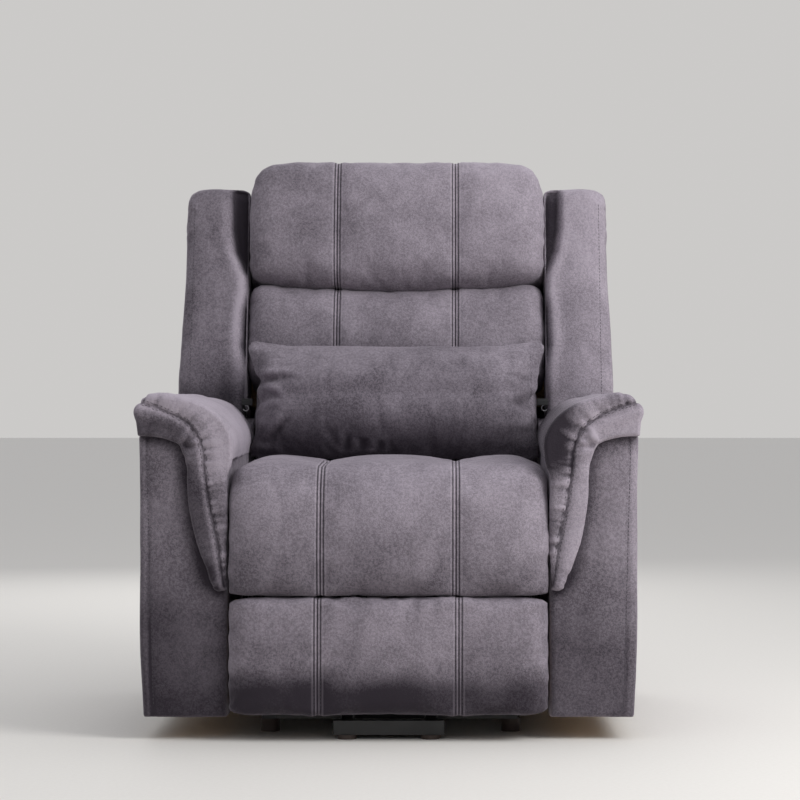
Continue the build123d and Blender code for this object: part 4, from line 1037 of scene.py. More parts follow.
# ---------------------------------------------------------------- soft pieces


def seam_rows(seam: float) -> list[float]:
    """Returns the x of the topstitched rows beside a seam and beside its mirror image."""
    return [side * seam + offset for side in (-1, 1) for offset in (-SEAM_HALF, SEAM_HALF)]


@dataclass(frozen=True)
class Puckers:
    """Short folds that run inwards from both ends of a cushion."""

    pitch: float
    seed: int
    inset: float
    reach: float
    tone: float
    height: float
    run: float = 0.25
    depth: float = 0.5


@dataclass(kw_only=True)
class SoftPiece:
    """A sewn piece that stands for one CAD node."""

    node: str
    body: str
    finishes: Finishes
    fill: float | None = None
    voxel: float = 0.007
    refine: int = 1
    relax: int = 2
    inflation: Inflation | None = None
    seam: float | None = None
    # How much lighter the piece is painted towards +X, the side the light falls from.
    slope: float = 0.45
    smooth_below: float = 70.0
    piece: bpy.types.Object = field(init=False)

    def make(self) -> bpy.types.Object:
        """Builds the piece, sews it and puts it on its body.

        Returns:
            The piece.
        """
        LOG.info("making %s", self.node)
        self.piece = copy_node(self.node, "soft_" + self.node)
        self.low, self.high = (np.array(corner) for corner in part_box(self.node))
        voxel_remesh(self.piece, self.inflation.voxel if self.inflation else self.voxel)
        if self.inflation:
            inflate(self.piece, self.inflation, self.held)
        if self.relax:
            apply_modifier(self.piece, "SMOOTH", factor=0.5, iterations=self.relax)
        if self.refine:
            apply_modifier(self.piece, "SUBSURF", levels=self.refine, render_levels=self.refine)
        sculpt = Sculpt(self.piece)
        self.sculpt(sculpt)
        # Painted light: lighter towards +X, the side the light falls from.
        sculpt.paint(self.slope * sculpt.x)
        sculpt.finish()
        if self.seam is None:
            self.piece.data.materials.append(self.finishes.by_slot[Slot.UPHOLSTERY])
        else:
            self.piece.data.materials.append(self.finishes.sewn[self.seam])
        smooth_shade(self.piece, self.smooth_below)
        self.place(self.piece)
        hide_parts(self.node)
        sewing = Sewing(self.piece)
        self.sew(sewing)
        stitches = sewing.build(self.finishes.thread)
        if stitches is not None:
            self.place(stitches)
        return self.piece

    def place(self, piece: bpy.types.Object) -> None:
        """Puts what goes with this piece on its body."""
        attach(piece, self.body)

    def held(self, co: Array) -> Array:
        """Returns how firmly the simulation holds each point, from 0 to 1."""
        return np.zeros(len(co))

    def sculpt(self, sculpt: Sculpt) -> None:
        """Shapes the piece's vertices after its simulation."""

    def sew(self, sewing: Sewing) -> None:
        """Adds the piece's stitches to the sewing."""

    def hold_seams(self, co: Array) -> Array:
        """Returns how firmly the two seams hold each point, from 0 to 1."""
        return bell(np.abs(co[:, 0]) - self.seam, 0.006)

    def hold_ends(self, co: Array, start: float = 0.012) -> Array:
        """Returns how firmly both ends hold each point, beginning at a distance from them."""
        return ramp(np.abs(co[:, 0]), self.high[0] - start, self.high[0] - 0.006)

    def pucker_ends(self, sculpt: Sculpt, puckers: Puckers) -> None:
        """Folds the cloth at both ends.

        Args:
            sculpt: the piece's vertices.
            puckers: the folds.
        """
        edge = self.high[0] - np.abs(sculpt.x)
        across = np.sign(sculpt.x) * 2 + edge * puckers.run
        track = np.stack([across, sculpt.y * puckers.depth, sculpt.z], axis=1)
        fold = lattice_noise(track, puckers.pitch, puckers.seed) * bell(edge - puckers.inset, puckers.reach)
        # Painted light on the folds that rise, painted shade on those that sink.
        sculpt.paint(puckers.tone * fold)
        sculpt.push(puckers.height * fold)

    def upright_row(self, sewing: Sewing, x: float | Array, heights: Array, rear: bool = False) -> None:
        """Sews a row from top to bottom.

        Args:
            sewing: where it goes.
            x: across the chair, for the row or for each height.
            heights: of the points it is laid through.
            rear: whether it is on the rear face.
        """
        start = self.high[1] + OUTSIDE if rear else self.low[1] - OUTSIDE
        columns = np.broadcast_to(x, heights.shape), np.full_like(heights, start), heights
        origins = np.stack(columns, axis=1)
        sewing.row(*sewing.cast(origins, (0, -1 if rear else 1, 0)))


def channel(
    sculpt: Sculpt, seam: float, seed: int = 1, fill: float = 0.0030, pucker: float = 0.0009
) -> None:
    """Fills the cloth beside two mirrored seams, with short puckers that cross them.

    Args:
        sculpt: the cushion.
        seam: x of the one on the sitter's left.
        seed: picks their pattern.
        fill: how far the wide hollow at the seam is filled again.
        pucker: height of the puckers.
    """
    away = np.abs(np.abs(sculpt.x) - seam)
    amount = fill * bell(away, 0.026) - 0.0016 * bell(away, 0.0075)
    lines = sculpt.co * np.array([0.25, 1.0, 1.0])
    ripple = lattice_noise(lines, 0.013, seed) * bell(away - 0.011, 0.012)
    # Painted shade in the hollow at each seam, painted light and shade on the puckers.
    sculpt.paint(0.12 * ripple - 0.10 * bell(away, 0.008))
    sculpt.push(amount + pucker * ripple)


def soften(sculpt: Sculpt, height: float, pitch: float, seed: int) -> None:
    """Pushes the cloth up and down over an uneven filling, in lumps as large as pitch."""
    sculpt.push(height * fractal_noise(sculpt.co, pitch, 3, seed))


@dataclass(frozen=True)
class Gathers:
    """Short folds that run away from a gathered seam."""

    reach: float
    height: float
    pitch: float
    seed: int
    tone: float = 0.25
    only: int = 0

    def fold(self, sculpt: Sculpt, line: Line) -> None:
        """Gathers a piece along a seam: on one side of it, or on both where only is 0.

        Args:
            sculpt: the piece.
            line: the seam.
        """
        away, place, side = line.measure(sculpt.co, self.reach * 2.5)
        track = np.stack([place + 0.2 * self.pitch * side, away * 0.16, side], axis=1)
        fine = lattice_noise(track, self.pitch * 0.55, self.seed + 5)
        fold = lattice_noise(track, self.pitch, self.seed) + 0.5 * fine
        strength = np.exp(-((away / self.reach) ** 1.5)) * ramp(away, 0.0, 0.003)
        if self.only:
            strength = strength * np.where(side == self.only, 1.0, 0.15)
        # Painted light on the folds that rise, painted shade on those that sink.
        sculpt.paint(self.tone * fold * strength)
        sculpt.push(self.height * fold * strength)


def groove(sculpt: Sculpt, line: Line, depth: float, width: float, tone: float) -> None:
    """Draws the cloth in along a seam.

    Args:
        sculpt: the piece.
        line: the seam.
        depth: at the seam.
        width: to either side.
        tone: how much painted shade the seam gets, where negative.
    """
    away, _, _ = line.measure(sculpt.co, width * 4)
    # Painted shade in the seam and a fainter painted highlight beside it.
    sculpt.paint(tone * bell(away, width) + 0.3 * abs(tone) * bell(away - 2.6 * width, width))
    sculpt.push(-depth * np.exp(-away / width))


def crease(sculpt: Sculpt, start: Point, end: Point, depth: float, width: float) -> None:
    """A soft wrinkle between two points: a valley with a lip above it.

    Args:
        sculpt: the piece.
        start: one end.
        end: the other.
        depth: of the valley.
        width: of the valley.
    """
    line = Line([start, end])
    away, place, _ = line.measure(sculpt.co, width * 4)
    fade = np.sin(np.pi * np.clip(place / line.length, 0.0, 1.0)) ** 0.6
    above = sculpt.z > np.interp(place, line.along, line.points[:, 2])
    shape = -bell(away, width) + 0.6 * bell(away - 1.9 * width, 1.1 * width) * above
    # Painted shade in the valley and a painted highlight on the lip.
    sculpt.paint(0.3 * shape * fade)
    sculpt.push(depth * shape * fade)


@dataclass(kw_only=True)
class SeatCushion(SoftPiece):
    """The seat: three sewn channels over a crowned top with a waterfall front."""

    node: str = "seat_cushion"
    body: str = "chassis"
    fill: float | None = 0.75
    inflation: Inflation | None = Inflation(slack=0.012, cap=0.014)
    seam: float | None = 0.12
    crown_z: float = 0.42
    inside: Pair = (-0.33, 0.40)
    sewn_arc: Pair = (60.0, 262.0)
    shade_z: Pair = (0.345, 0.27)

    def held(self, co: Array) -> Array:
        """Holds the seams, the underside and the ends.

        Args:
            co: the points.

        Returns:
            How firmly each is held, from 0 to 1.
        """
        low = self.low
        under = ramp(co[:, 2], low[2] + 0.09, low[2] + 0.07) * (co[:, 1] > low[1] + 0.06)
        return np.maximum(np.maximum(self.hold_seams(co), under), 0.9 * self.hold_ends(co))

    def sculpt(self, sculpt: Sculpt) -> None:
        """Seams, unevenness, painted light and shade on the front, the nap's clouds and puckers at the ends.

        Args:
            sculpt: the piece's vertices.
        """
        channel(sculpt, self.seam)
        soften(sculpt, 0.0016, 0.07, 3)
        face = ramp(sculpt.y, self.low[1] + 0.12, self.low[1] + 0.06)
        # Painted highlight along the front's crown, painted shade lower down the front, the whole a little
        # lighter.
        sculpt.paint(0.30 * bell(sculpt.z - self.crown_z, 0.05) * face)
        sculpt.paint(-0.42 * ramp(sculpt.z, *self.shade_z) * face + 0.08)
        sculpt.mottle(0.30, 0.11, 33)
        self.pucker_ends(sculpt, Puckers(0.020, 35, 0.008, 0.025, tone=0.25, height=0.0016))

    def sew(self, sewing: Sewing) -> None:
        """Two rows beside each seam."""
        for x in seam_rows(self.seam):
            sewing.row(*sewing.wrap(x, self.inside, *self.sewn_arc))


@dataclass(kw_only=True)
class LegrestPad(SoftPiece):
    """The padded panel of the legrest, hanging below the seat."""

    node: str = "legrest_pad"
    body: str = "panel"
    fill: float | None = 0.6
    inflation: Inflation | None = Inflation(slack=0.012, cap=0.009)
    seam: float | None = 0.125
    gathered_x: float = 0.105
    light_z: Pair = (0.15, 0.20)
    shade_z: Pair = (0.150, 0.085)

    def held(self, co: Array) -> Array:
        """Holds the seams and the rear face."""
        return np.maximum(ramp(co[:, 1], self.high[1] - 0.012, self.high[1] - 0.006), self.hold_seams(co))

    def sculpt(self, sculpt: Sculpt) -> None:
        """Seams, gathers at the top of the middle channel, painted light and shade, and the nap's clouds.

        Args:
            sculpt: the piece's vertices.
        """
        channel(sculpt, self.seam, seed=7)
        top = (self.low[1] + 0.012, self.high[2] - 0.004)
        edge = Line([(-self.gathered_x, *top), (self.gathered_x, *top)])
        Gathers(0.035, 0.0030, 0.017, 11, tone=0.3).fold(sculpt, edge)
        soften(sculpt, 0.0012, 0.06, 5)
        # Painted light near the top, painted shade towards the bottom with a ragged edge.
        sculpt.paint(0.28 * ramp(sculpt.z, *self.light_z))
        sculpt.mottle(0.26, 0.09, 31)
        ragged = sculpt.z + 0.012 * fractal_noise(sculpt.co, 0.05, 2, 37)
        sculpt.paint(-1.15 * ramp(ragged, *self.shade_z))
        self.pucker_ends(sculpt, Puckers(0.014, 39, 0.006, 0.016, tone=0.3, height=0.0016))

    def sew(self, sewing: Sewing) -> None:
        """Two rows beside each seam."""
        for x in seam_rows(self.seam):
            self.upright_row(sewing, x, np.linspace(self.high[2] - 0.006, self.low[2] + 0.008, 120))


@dataclass(kw_only=True)
class BackCushion(SoftPiece):
    """One of the three stuffed rolls of the back."""

    body: str = "back"
    fill: float | None = 0.8
    inflation: Inflation | None = Inflation(slack=0.015, cap=0.016)
    seam: float | None = 0.12
    sewn_arc: Pair = (70.0, 262.0)
    seed: int = 20
    lift: float = 0.0
    swell: float = 0.0
    # Painted light added over the whole cushion.
    brushed: float = 0.0

    def held(self, co: Array) -> Array:
        """Holds the seams, the rear and the ends.

        Args:
            co: the points.

        Returns:
            How firmly each is held, from 0 to 1.
        """
        depth = co[:, 1] - LEAN * co[:, 2]
        rear = ramp(depth, depth.max() - 0.06, depth.max() - 0.04)
        return np.maximum(np.maximum(rear, self.hold_seams(co)), 0.8 * self.hold_ends(co))

    def sculpt(self, sculpt: Sculpt) -> None:
        """Seams, puckers at the ends, swelling, painted light and shade, and the nap's clouds.

        Args:
            sculpt: the piece's vertices.
        """
        channel(sculpt, self.seam, seed=self.seed)
        soften(sculpt, 0.0016, 0.08, self.seed + 3)
        folds = Puckers(0.016, self.seed + 9, 0.006, 0.03, tone=0.2, height=0.0018, run=0.3, depth=0.4)
        self.pucker_ends(sculpt, folds)
        face = (2 * sculpt.z - self.low[2] - self.high[2]) / (self.high[2] - self.low[2])
        if self.lift:
            sculpt.shift(np.outer(self.lift * ramp(face, 0.0, 0.9), (0, 0, 1)))
        if self.swell:
            ends = ramp(np.abs(sculpt.x), self.high[0] - 0.10, self.high[0])
            sculpt.shift(np.outer(self.swell * ends * np.sign(sculpt.x), (1, 0, 0)))
        # Painted light over the whole cushion and more towards its top, painted shade along its bottom.
        sculpt.paint(0.12 + self.brushed + 0.12 * face - 0.50 * ramp(face, -0.45, -0.95))
        sculpt.mottle(0.24, 0.10, self.seed + 6)

    def sew(self, sewing: Sewing) -> None:
        """Two rows beside each seam.

        Args:
            sewing: where the rows are added.
        """
        centre = ((self.low[1] + self.high[1]) / 2 + 0.01, (self.low[2] + self.high[2]) / 2)
        for x in seam_rows(self.seam):
            sewing.row(*sewing.wrap(x, centre, *self.sewn_arc))


# Wrinkles of the pillow: each end as (inwards from the side, behind the front, height), then the depth.
PILLOW_CREASES = {
    Side.RIGHT: (
        ((0.008, 0.06, 0.641), (0.090, 0.01, 0.652), 0.0060),
        ((0.010, 0.06, 0.628), (0.060, 0.01, 0.606), 0.0050),
        ((0.012, 0.06, 0.575), (0.060, 0.01, 0.590), 0.0045),
        ((0.035, 0.02, 0.520), (0.075, 0.01, 0.570), 0.0036),
        ((0.186, 0.02, 0.497), (0.195, 0.01, 0.545), 0.0042),
        ((0.219, 0.02, 0.497), (0.221, 0.01, 0.532), 0.0036),
        ((0.251, 0.02, 0.497), (0.257, 0.01, 0.528), 0.0030),
    ),
    Side.LEFT: (
        ((0.085, 0.01, 0.600), (0.010, 0.05, 0.598), 0.0040),
        ((0.060, 0.01, 0.665), (0.012, 0.05, 0.640), 0.0036),
    ),
}


@dataclass(kw_only=True)
class LumbarPillow(SoftPiece):
    """The loose pillow at the small of the back, with pinched corners."""

    node: str = "lumbar_pillow"
    body: str = "back"
    fill: float | None = 0.7
    inflation: Inflation | None = Inflation(voxel=0.0065, slack=0.03, cap=0.014, bending=0.2)
    pinch_z: Pair = (0.641, 0.600)
    arm_z: Pair = (0.598, 0.636)
    over_arms: Pair = (0.009, 0.004)
    row_inset: float = 0.012
    light_z: Pair = (0.62, 0.70)
    shade_z: Pair = (0.620, 0.500)

    def held(self, co: Array) -> Array:
        """Holds the seam round its edge, the corners and the back.

        Args:
            co: the points.

        Returns:
            How firmly each is held, from 0 to 1.
        """
        low, high = self.low, self.high
        top = ramp(co[:, 2], high[2] - 0.016, high[2] - 0.006)
        bottom = ramp(co[:, 2], low[2] + 0.016, low[2] + 0.006)
        rear = ramp(co[:, 1], high[1] - 0.03, high[1] - 0.015)
        return np.maximum.reduce([self.hold_ends(co, 0.016), top, bottom, rear])

    def pinch_corners(self, sculpt: Sculpt) -> None:
        """Draws out the corners, pinches the sides and widens the pillow over the arms.

        Args:
            sculpt: the pillow's vertices.
        """
        low, high = self.low, self.high
        side = np.sign(sculpt.x)
        ends = ramp(np.abs(sculpt.x), high[0] - 0.075, high[0])
        upper = ramp(sculpt.z, high[2] - 0.075, high[2] - 0.005)
        under = ramp(sculpt.z, low[2] + 0.075, low[2] + 0.010)
        above, below = self.pinch_z
        pinch = bell(sculpt.z - above, 0.013) * (side < 0) + 0.7 * bell(sculpt.z - below, 0.014)
        outward = 0.009 * upper + 0.003 * under - 0.007 * (1 - upper) * (1 - under) - 0.010 * pinch
        outward += ramp(sculpt.z, *self.arm_z) * np.where(side > 0, *self.over_arms)
        rise = 0.008 * ends * upper - 0.002 * (1 - ends) * upper
        sculpt.shift(np.stack([side * ends * outward, np.zeros_like(rise), rise], axis=1))

    def sculpt(self, sculpt: Sculpt) -> None:
        """Corners, puckers along the side seams, wrinkles, painted light and shade, and the nap's clouds.

        Args:
            sculpt: the piece's vertices.
        """
        soften(sculpt, 0.0020, 0.07, 41)
        self.pinch_corners(sculpt)
        folds = Puckers(0.016, 45, 0.012, 0.045, tone=0.35, height=0.0036, run=0.16, depth=0.3)
        self.pucker_ends(sculpt, folds)
        for side, creases in PILLOW_CREASES.items():
            for *ends, depth in creases:
                start, end = ((side.value * (self.high[0] - x), self.low[1] + y, z) for x, y, z in ends)
                crease(sculpt, start, end, depth, 0.0075)
        # Painted light at the top, painted shade over the lower part, and the whole pillow painted a little
        # darker.
        ragged = sculpt.z + 0.010 * fractal_noise(sculpt.co, 0.09, 2, 47)
        sculpt.paint(0.10 * ramp(ragged, *self.light_z) - 0.80 * ramp(ragged, *self.shade_z) - 0.20)
        sculpt.mottle(0.22, 0.12, 49)

    def sew(self, sewing: Sewing) -> None:
        """A row inside each side seam.

        Args:
            sewing: where the rows are added.
        """
        for side in (-1, 1):
            heights = np.linspace(self.high[2] - 0.02, self.low[2] + 0.02, 80)
            self.upright_row(sewing, side * (self.high[0] - self.row_inset), heights)


@dataclass(kw_only=True)
class PairedPiece(SoftPiece):
    """A soft piece that has a mirror image."""

    pair: str
    side: Side
    node: str = ""
    out: float = field(init=False)

    def __post_init__(self) -> None:
        """Names the CAD node from the pair and the side."""
        self.node = f"{self.pair}_{self.side.label}"
        self.out = float(self.side.value)


# Where the wing's front turns in beside the cushions, as (z, distance from the chair's middle).
WING_CHEEK = (
    (0.55, 0.306), (0.63, 0.303), (0.654, 0.302), (0.714, 0.314), (0.784, 0.311),
    (0.825, 0.303), (0.850, 0.304), (0.904, 0.328), (0.95, 0.336), (1.05, 0.340),
)


@dataclass(kw_only=True)
class Wing(PairedPiece):
    """The upholstered wing beside the back cushions."""

    pair: str = "wing"
    body: str = "back"
    fill: float | None = 0.7
    voxel: float = 0.006
    relax: int = 3
    cheek: float = 0.020
    flare: float = 0.009
    bow: float = 0.006
    row_x: float = 0.4135
    corner_x: float = 0.426
    edge_x: float = 0.43
    wrinkle_x: Pair = (0.432, 0.405)
    shade_z: Pair = (0.655, 0.605)

    def press(self, sculpt: Sculpt, facing: Array) -> None:
        """Presses in the cheek beside the head's cushion, bows the front and flares the outside.

        Args:
            sculpt: the wing's vertices.
            facing: how much each of them is part of the front, from 0 to 1.
        """
        across = self.out * sculpt.x
        limit = np.interp(sculpt.z, *np.array(WING_CHEEK).T)
        cheek = ramp(across, limit + 0.006, limit - 0.012) * facing
        ridge = bell(across - limit - 0.012, 0.010) * facing * bell(sculpt.z - 0.80, 0.16)
        flare = ramp(across, 0.36, 0.43) * ramp(sculpt.z, 0.90, 0.62)
        bow = bell(across - 0.385, 0.03) * facing
        zero = np.zeros_like(flare)
        sculpt.shift(np.stack([self.out * self.flare * flare, self.cheek * cheek, zero], axis=1))
        sculpt.push(0.003 * ridge + self.bow * bow)
        # Painted highlight on the ridge, stronger on the sitter's right wing, painted shade in the cheek,
        # and darker along a line down the front.
        sculpt.paint((1.0 - 0.5 * self.out) * ridge - 1.7 * cheek)
        sculpt.paint(-0.12 * bell(across - 0.345, 0.02) * facing)

    def sculpt(self, sculpt: Sculpt) -> None:
        """The cheek, a wrinkled corner, painted light and shade, and the nap's clouds.

        Args:
            sculpt: the piece's vertices.
        """
        facing = ramp(-sculpt.no[:, 1], 0.1, 0.7)
        self.press(sculpt, facing)
        soften(sculpt, 0.0024, 0.10, 51 + self.side.value)
        front, top = self.low[1], self.high[2] - 0.012
        edge = self.out * self.corner_x
        corner = Line([(edge, front + 0.20, top - 0.02), (edge, front + 0.12, top - 0.09)])
        Gathers(0.022, 0.0030, 0.014, 57, tone=0.35).fold(sculpt, corner)
        start, end = (self.out * x for x in self.wrinkle_x)
        crease(sculpt, (start, front + 0.14, top - 0.028), (end, front + 0.13, top - 0.034), 0.005, 0.006)
        Gathers(0.014, 0.0014, 0.030, 63, tone=0.15).fold(sculpt, self.front_edge())
        # Painted light: lighter on the front of the wing on +X and darker on that of the other; painted
        # shade low on the front.
        sculpt.paint(0.18 + 0.26 * self.out * facing)
        sculpt.mottle(0.26, 0.12, 71)
        ragged = sculpt.z + 0.015 * fractal_noise(sculpt.co, 0.05, 2, 73)
        sculpt.paint(-0.45 * ramp(ragged, *self.shade_z) * facing)

    def front_edge(self) -> Line:
        """Returns:
            The outer front edge from the bottom up.
        """
        slope = (self.high[1] - 0.17 - self.low[1]) / (self.high[2] - self.low[2])
        heights = np.linspace(self.low[2] + 0.05, self.high[2] - 0.05, 12)
        foot = self.low[1] + 0.01
        return Line([(self.out * self.edge_x, foot + slope * (z - self.low[2]), z) for z in heights])

    def sew(self, sewing: Sewing) -> None:
        """A topstitched row near the outer edge."""
        heights = np.linspace(self.high[2] - 0.03, self.low[2] + 0.04, 200)
        self.upright_row(sewing, self.out * self.row_x, heights)


# Seams of the arm's front as (distance from the chair's middle, z): the band's upper and lower edges.
BAND_SEAM = (
    (0.443, 0.602), (0.402, 0.589), (0.373, 0.576), (0.351, 0.561), (0.337, 0.543), (0.328, 0.517),
    (0.326, 0.488), (0.319, 0.435), (0.311, 0.391), (0.302, 0.347), (0.296, 0.303), (0.290, 0.275),
)
BAND_FOOT = (
    (0.440, 0.541), (0.402, 0.538), (0.384, 0.532), (0.369, 0.524), (0.362, 0.515), (0.358, 0.464),
    (0.349, 0.405), (0.337, 0.336), (0.328, 0.303), (0.319, 0.283), (0.303, 0.270),
)
# Where the band turns onto the arm's front, and the other ends of the creases that start there.
BAND_TURN = (0.366, 0.522)
TURN_CREASES = ((0.340, 0.542), (0.334, 0.522), (0.345, 0.556))


@dataclass(frozen=True)
class Brushed:
    """How much painted light, or painted shade where negative, each part of an arm's pad gets."""

    inner: float
    crest: float
    band: float


@dataclass(kw_only=True)
class ArmPad(PairedPiece):
    """The padded top of an arm, gathered onto the band that runs down its front."""

    pair: str = "arm_pad"
    body: str = "chassis"
    fill: float | None = 0.75
    voxel: float = 0.0042
    relax: int = 3
    seam_offset: float = 0.0055
    crest_z: Pair = (0.560, 0.600)
    inner_x: Pair = (0.36, 0.30)
    inner_z: Pair = (0.44, 0.50)
    foot_z: Pair = (0.34, 0.28)

    def on_front(self, seam: Sequence[Pair], depth: float) -> Line:
        """Returns a seam of the front face, from its corners (x, z) on the left arm and its depth."""
        points = [(self.out * x, self.low[1] + depth, z) for x, z in seam]
        return Line(points, self.low[1] + 0.035).smoothed(20)

    def brush(self, sculpt: Sculpt, across: Array, banded: Array) -> None:
        """Paints light and shade: light on the inside of one arm's pad and on the band of the other, shade
        low down.

        Args:
            sculpt: the pad's vertices.
            across: how far from the chair's middle they lie.
            banded: the band's share, from 0 to 1.
        """
        # Painted light and shade for each part of this side's pad.
        nap = Brushed(1.0, 1.4, -0.65) if self.side is Side.RIGHT else Brushed(-1.5, 0.05, 0.70)
        top = ramp(sculpt.z, *self.crest_z)
        inner = ramp(across, *self.inner_x) * ramp(sculpt.z, *self.inner_z)
        sculpt.paint(nap.crest * top * (1.0 - inner) + nap.inner * inner)
        sculpt.mottle(0.20, 0.09, 87)
        sculpt.paint(nap.band * banded - 0.35 * ramp(sculpt.z, *self.foot_z))

    def sculpt(self, sculpt: Sculpt) -> None:
        """The gathered seam, the creases where the band turns, painted light and shade, and the nap's
        clouds.

        Args:
            sculpt: the piece's vertices.
        """
        front = self.low[1]
        across = self.out * sculpt.x
        soften(sculpt, 0.0022, 0.07, 85 + self.side.value)
        seam = self.on_front(BAND_SEAM, 0.003)
        away, _, side = seam.measure(sculpt.co, 0.06)
        padded = np.where(side == -self.side.value, 1.0, 0.0)
        band = (1.0 - padded) * ramp(sculpt.y, front + 0.03, front + 0.015)
        rolls = 0.0036 * bell(away - 0.020, 0.014) * padded + 0.003 * bell(away - 0.018, 0.012) * band
        sculpt.push(rolls)
        groove(sculpt, seam, 0.0045, 0.0028, -0.7)
        Gathers(0.026, 0.0028, 0.0085, 81, tone=1.1, only=-self.side.value).fold(sculpt, seam)
        Gathers(0.016, 0.0026, 0.012, 83, tone=0.4).fold(sculpt, self.on_front(BAND_FOOT[-3:], 0.004))
        for crease_end in TURN_CREASES:
            start, end = ((self.out * x, front, z) for x, z in (BAND_TURN, crease_end))
            crease(sculpt, start, end, 0.0045, 0.005)
        Gathers(0.012, 0.0018, 0.020, 89, tone=0.2).fold(sculpt, self.on_front(BAND_FOOT[:6], 0.004))
        self.brush(sculpt, across, band * ramp(away, 0.004, 0.016))

    def sew(self, sewing: Sewing) -> None:
        """Rows on both sides of the gathered seam.

        Args:
            sewing: where the rows are added.
        """
        seam = self.on_front(BAND_SEAM, 0.0)
        hits, normals = sewing.cast(seam.points - np.array([0.0, OUTSIDE, 0.0]), (0, 1, 0))
        for offset in (-self.seam_offset, self.seam_offset):
            sewing.row(hits, normals, offset)


@dataclass(kw_only=True)
class ArmCover(PairedPiece):
    """The upholstered arm under its pad."""

    pair: str = "arm_cover"
    body: str = "chassis"
    voxel: float = 0.0052
    refine: int = 0
    relax: int = 1
    bow: float = 0.006
    fold_x: float = 0.416
    fold_lean: float = 0.013 / 0.493
    fold_foot: float = 0.048
    row_offset: float = 0.002
    row_z: Pair = (0.535, 0.055)
    bulge_at: Pair = (0.405, 0.49)
    shade_z: Pair = (0.42, 0.15)
    floor_z: Pair = (0.12, 0.05)

    def fold(self, z: Array) -> Array:
        """Returns how far from the chair's middle the front's folded edge lies at each height."""
        return self.fold_x + self.fold_lean * (z - self.fold_foot)

    def sculpt(self, sculpt: Sculpt) -> None:
        """A bulged upper front, the folded edge, the band's painted shadow, painted shade lower down and the
        nap's clouds.

        Args:
            sculpt: the piece's vertices.
        """
        across = self.out * sculpt.x
        facing = ramp(-sculpt.no[:, 1], 0.4, 0.9)
        outer = ramp(self.out * sculpt.no[:, 0], 0.4, 0.9)
        bulge_x, bulge_z = self.bulge_at
        sculpt.push(0.0035 * bell(across - bulge_x, 0.035) * bell(sculpt.z - bulge_z, 0.06) * facing)
        sculpt.push(0.002 * bell(sculpt.y + 0.06, 0.30) * bell(sculpt.z - 0.30, 0.22) * outer)
        soften(sculpt, 0.0011, 0.09, 91 + self.side.value)
        edge = self.fold(sculpt.z)
        away = np.abs(across - edge)
        sculpt.push(-0.0018 * np.exp(-away / 0.004) * facing)
        # Painted highlight beside the folded edge, painted shade along it.
        sculpt.paint((0.25 * bell(across - edge - 0.007, 0.005) - 0.3 * bell(away, 0.003)) * facing)
        sculpt.paint(0.22 * fractal_noise(sculpt.co * np.array([1, 1, 0.5]), 0.11, 2, 95))
        foot = [(self.out * x, self.low[1], z) for x, z in BAND_FOOT]
        beside, _, _ = Line(foot, self.low[1] + 0.04).smoothed(10).measure(sculpt.co, 0.05)
        # Painted shadow under the band's foot.
        sculpt.paint(-0.85 * bell(beside, 0.017) * facing)
        # Painted shade lower down, more on the front, and a little more near the floor.
        lower = (0.22 + 0.52 * facing) * ramp(sculpt.z, *self.shade_z)
        sculpt.paint(-lower - 0.12 * ramp(sculpt.z, *self.floor_z))
        bow = self.bow * bell(sculpt.z - 0.17, 0.16) * ramp(across, 0.36, 0.42)
        sculpt.shift(np.outer(bow, (self.out, 0, 0)))

    def sew(self, sewing: Sewing) -> None:
        """A row inside the outer edge of the front."""
        heights = np.linspace(*self.row_z, 200)
        self.upright_row(sewing, self.out * (self.fold(heights) + self.row_offset), heights)


@dataclass(kw_only=True)
class Covering(SoftPiece):
    """A plain stretched cover: the back's outer cover, the rear apron and the handset's pocket."""

    body: str = "chassis"
    seed: int = 101
    refine: int = 0
    relax: int = 1
    unevenness: float = 0.0010

    def sculpt(self, sculpt: Sculpt) -> None:
        """Slight unevenness and the nap."""
        soften(sculpt, self.unevenness, 0.10, self.seed)
        sculpt.mottle(0.15, 0.12, self.seed + 4, octaves=2)


@dataclass(kw_only=True)
class BackCover(Covering):
    """The outer cover of the back, with two topstitched seams down its rear."""

    node: str = "back_cover"
    body: str = "back"
    voxel: float = 0.0052
    rear_seam: float = 0.12

    def sculpt(self, sculpt: Sculpt) -> None:
        """Adds the two seams, with painted shade along each and a painted highlight beside it.

        Args:
            sculpt: the piece's vertices.
        """
        super().sculpt(sculpt)
        rear = ramp(sculpt.no[:, 1], 0.5, 0.9)
        for x in (-self.rear_seam, self.rear_seam):
            away = np.abs(sculpt.x - x)
            sculpt.push(-0.0014 * np.exp(-away / 0.005) * rear)
            # Painted highlight beside each seam, painted shade along it.
            sculpt.paint((0.25 * bell(away - 0.01, 0.005) - 0.3 * bell(away, 0.004)) * rear)

    def sew(self, sewing: Sewing) -> None:
        """Two rows beside each rear seam.

        Args:
            sewing: where the rows are added.
        """
        for x in seam_rows(self.rear_seam):
            heights = np.linspace(self.high[2] - 0.05, self.low[2] + 0.03, 240)
            self.upright_row(sewing, x, heights, rear=True)


@dataclass(kw_only=True)
class Bands:
    """Flat woven bands that stand for a webbing node."""

    node: str
    body: str
    finishes: Finishes
    slot: Slot = Slot.WEBBING
    rounding: float = 0.0005

    def make(self) -> bpy.types.Object:
        """Returns:
            The bands, with softened edges.
        """
        piece = copy_node(self.node, "soft_" + self.node)
        apply_modifier(piece, "BEVEL", width=self.rounding, segments=2, limit_method="ANGLE")
        piece.data.materials.append(self.finishes.by_slot[self.slot])
        smooth_shade(piece, 40)
        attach(piece, self.body)
        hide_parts(self.node)
        return piece


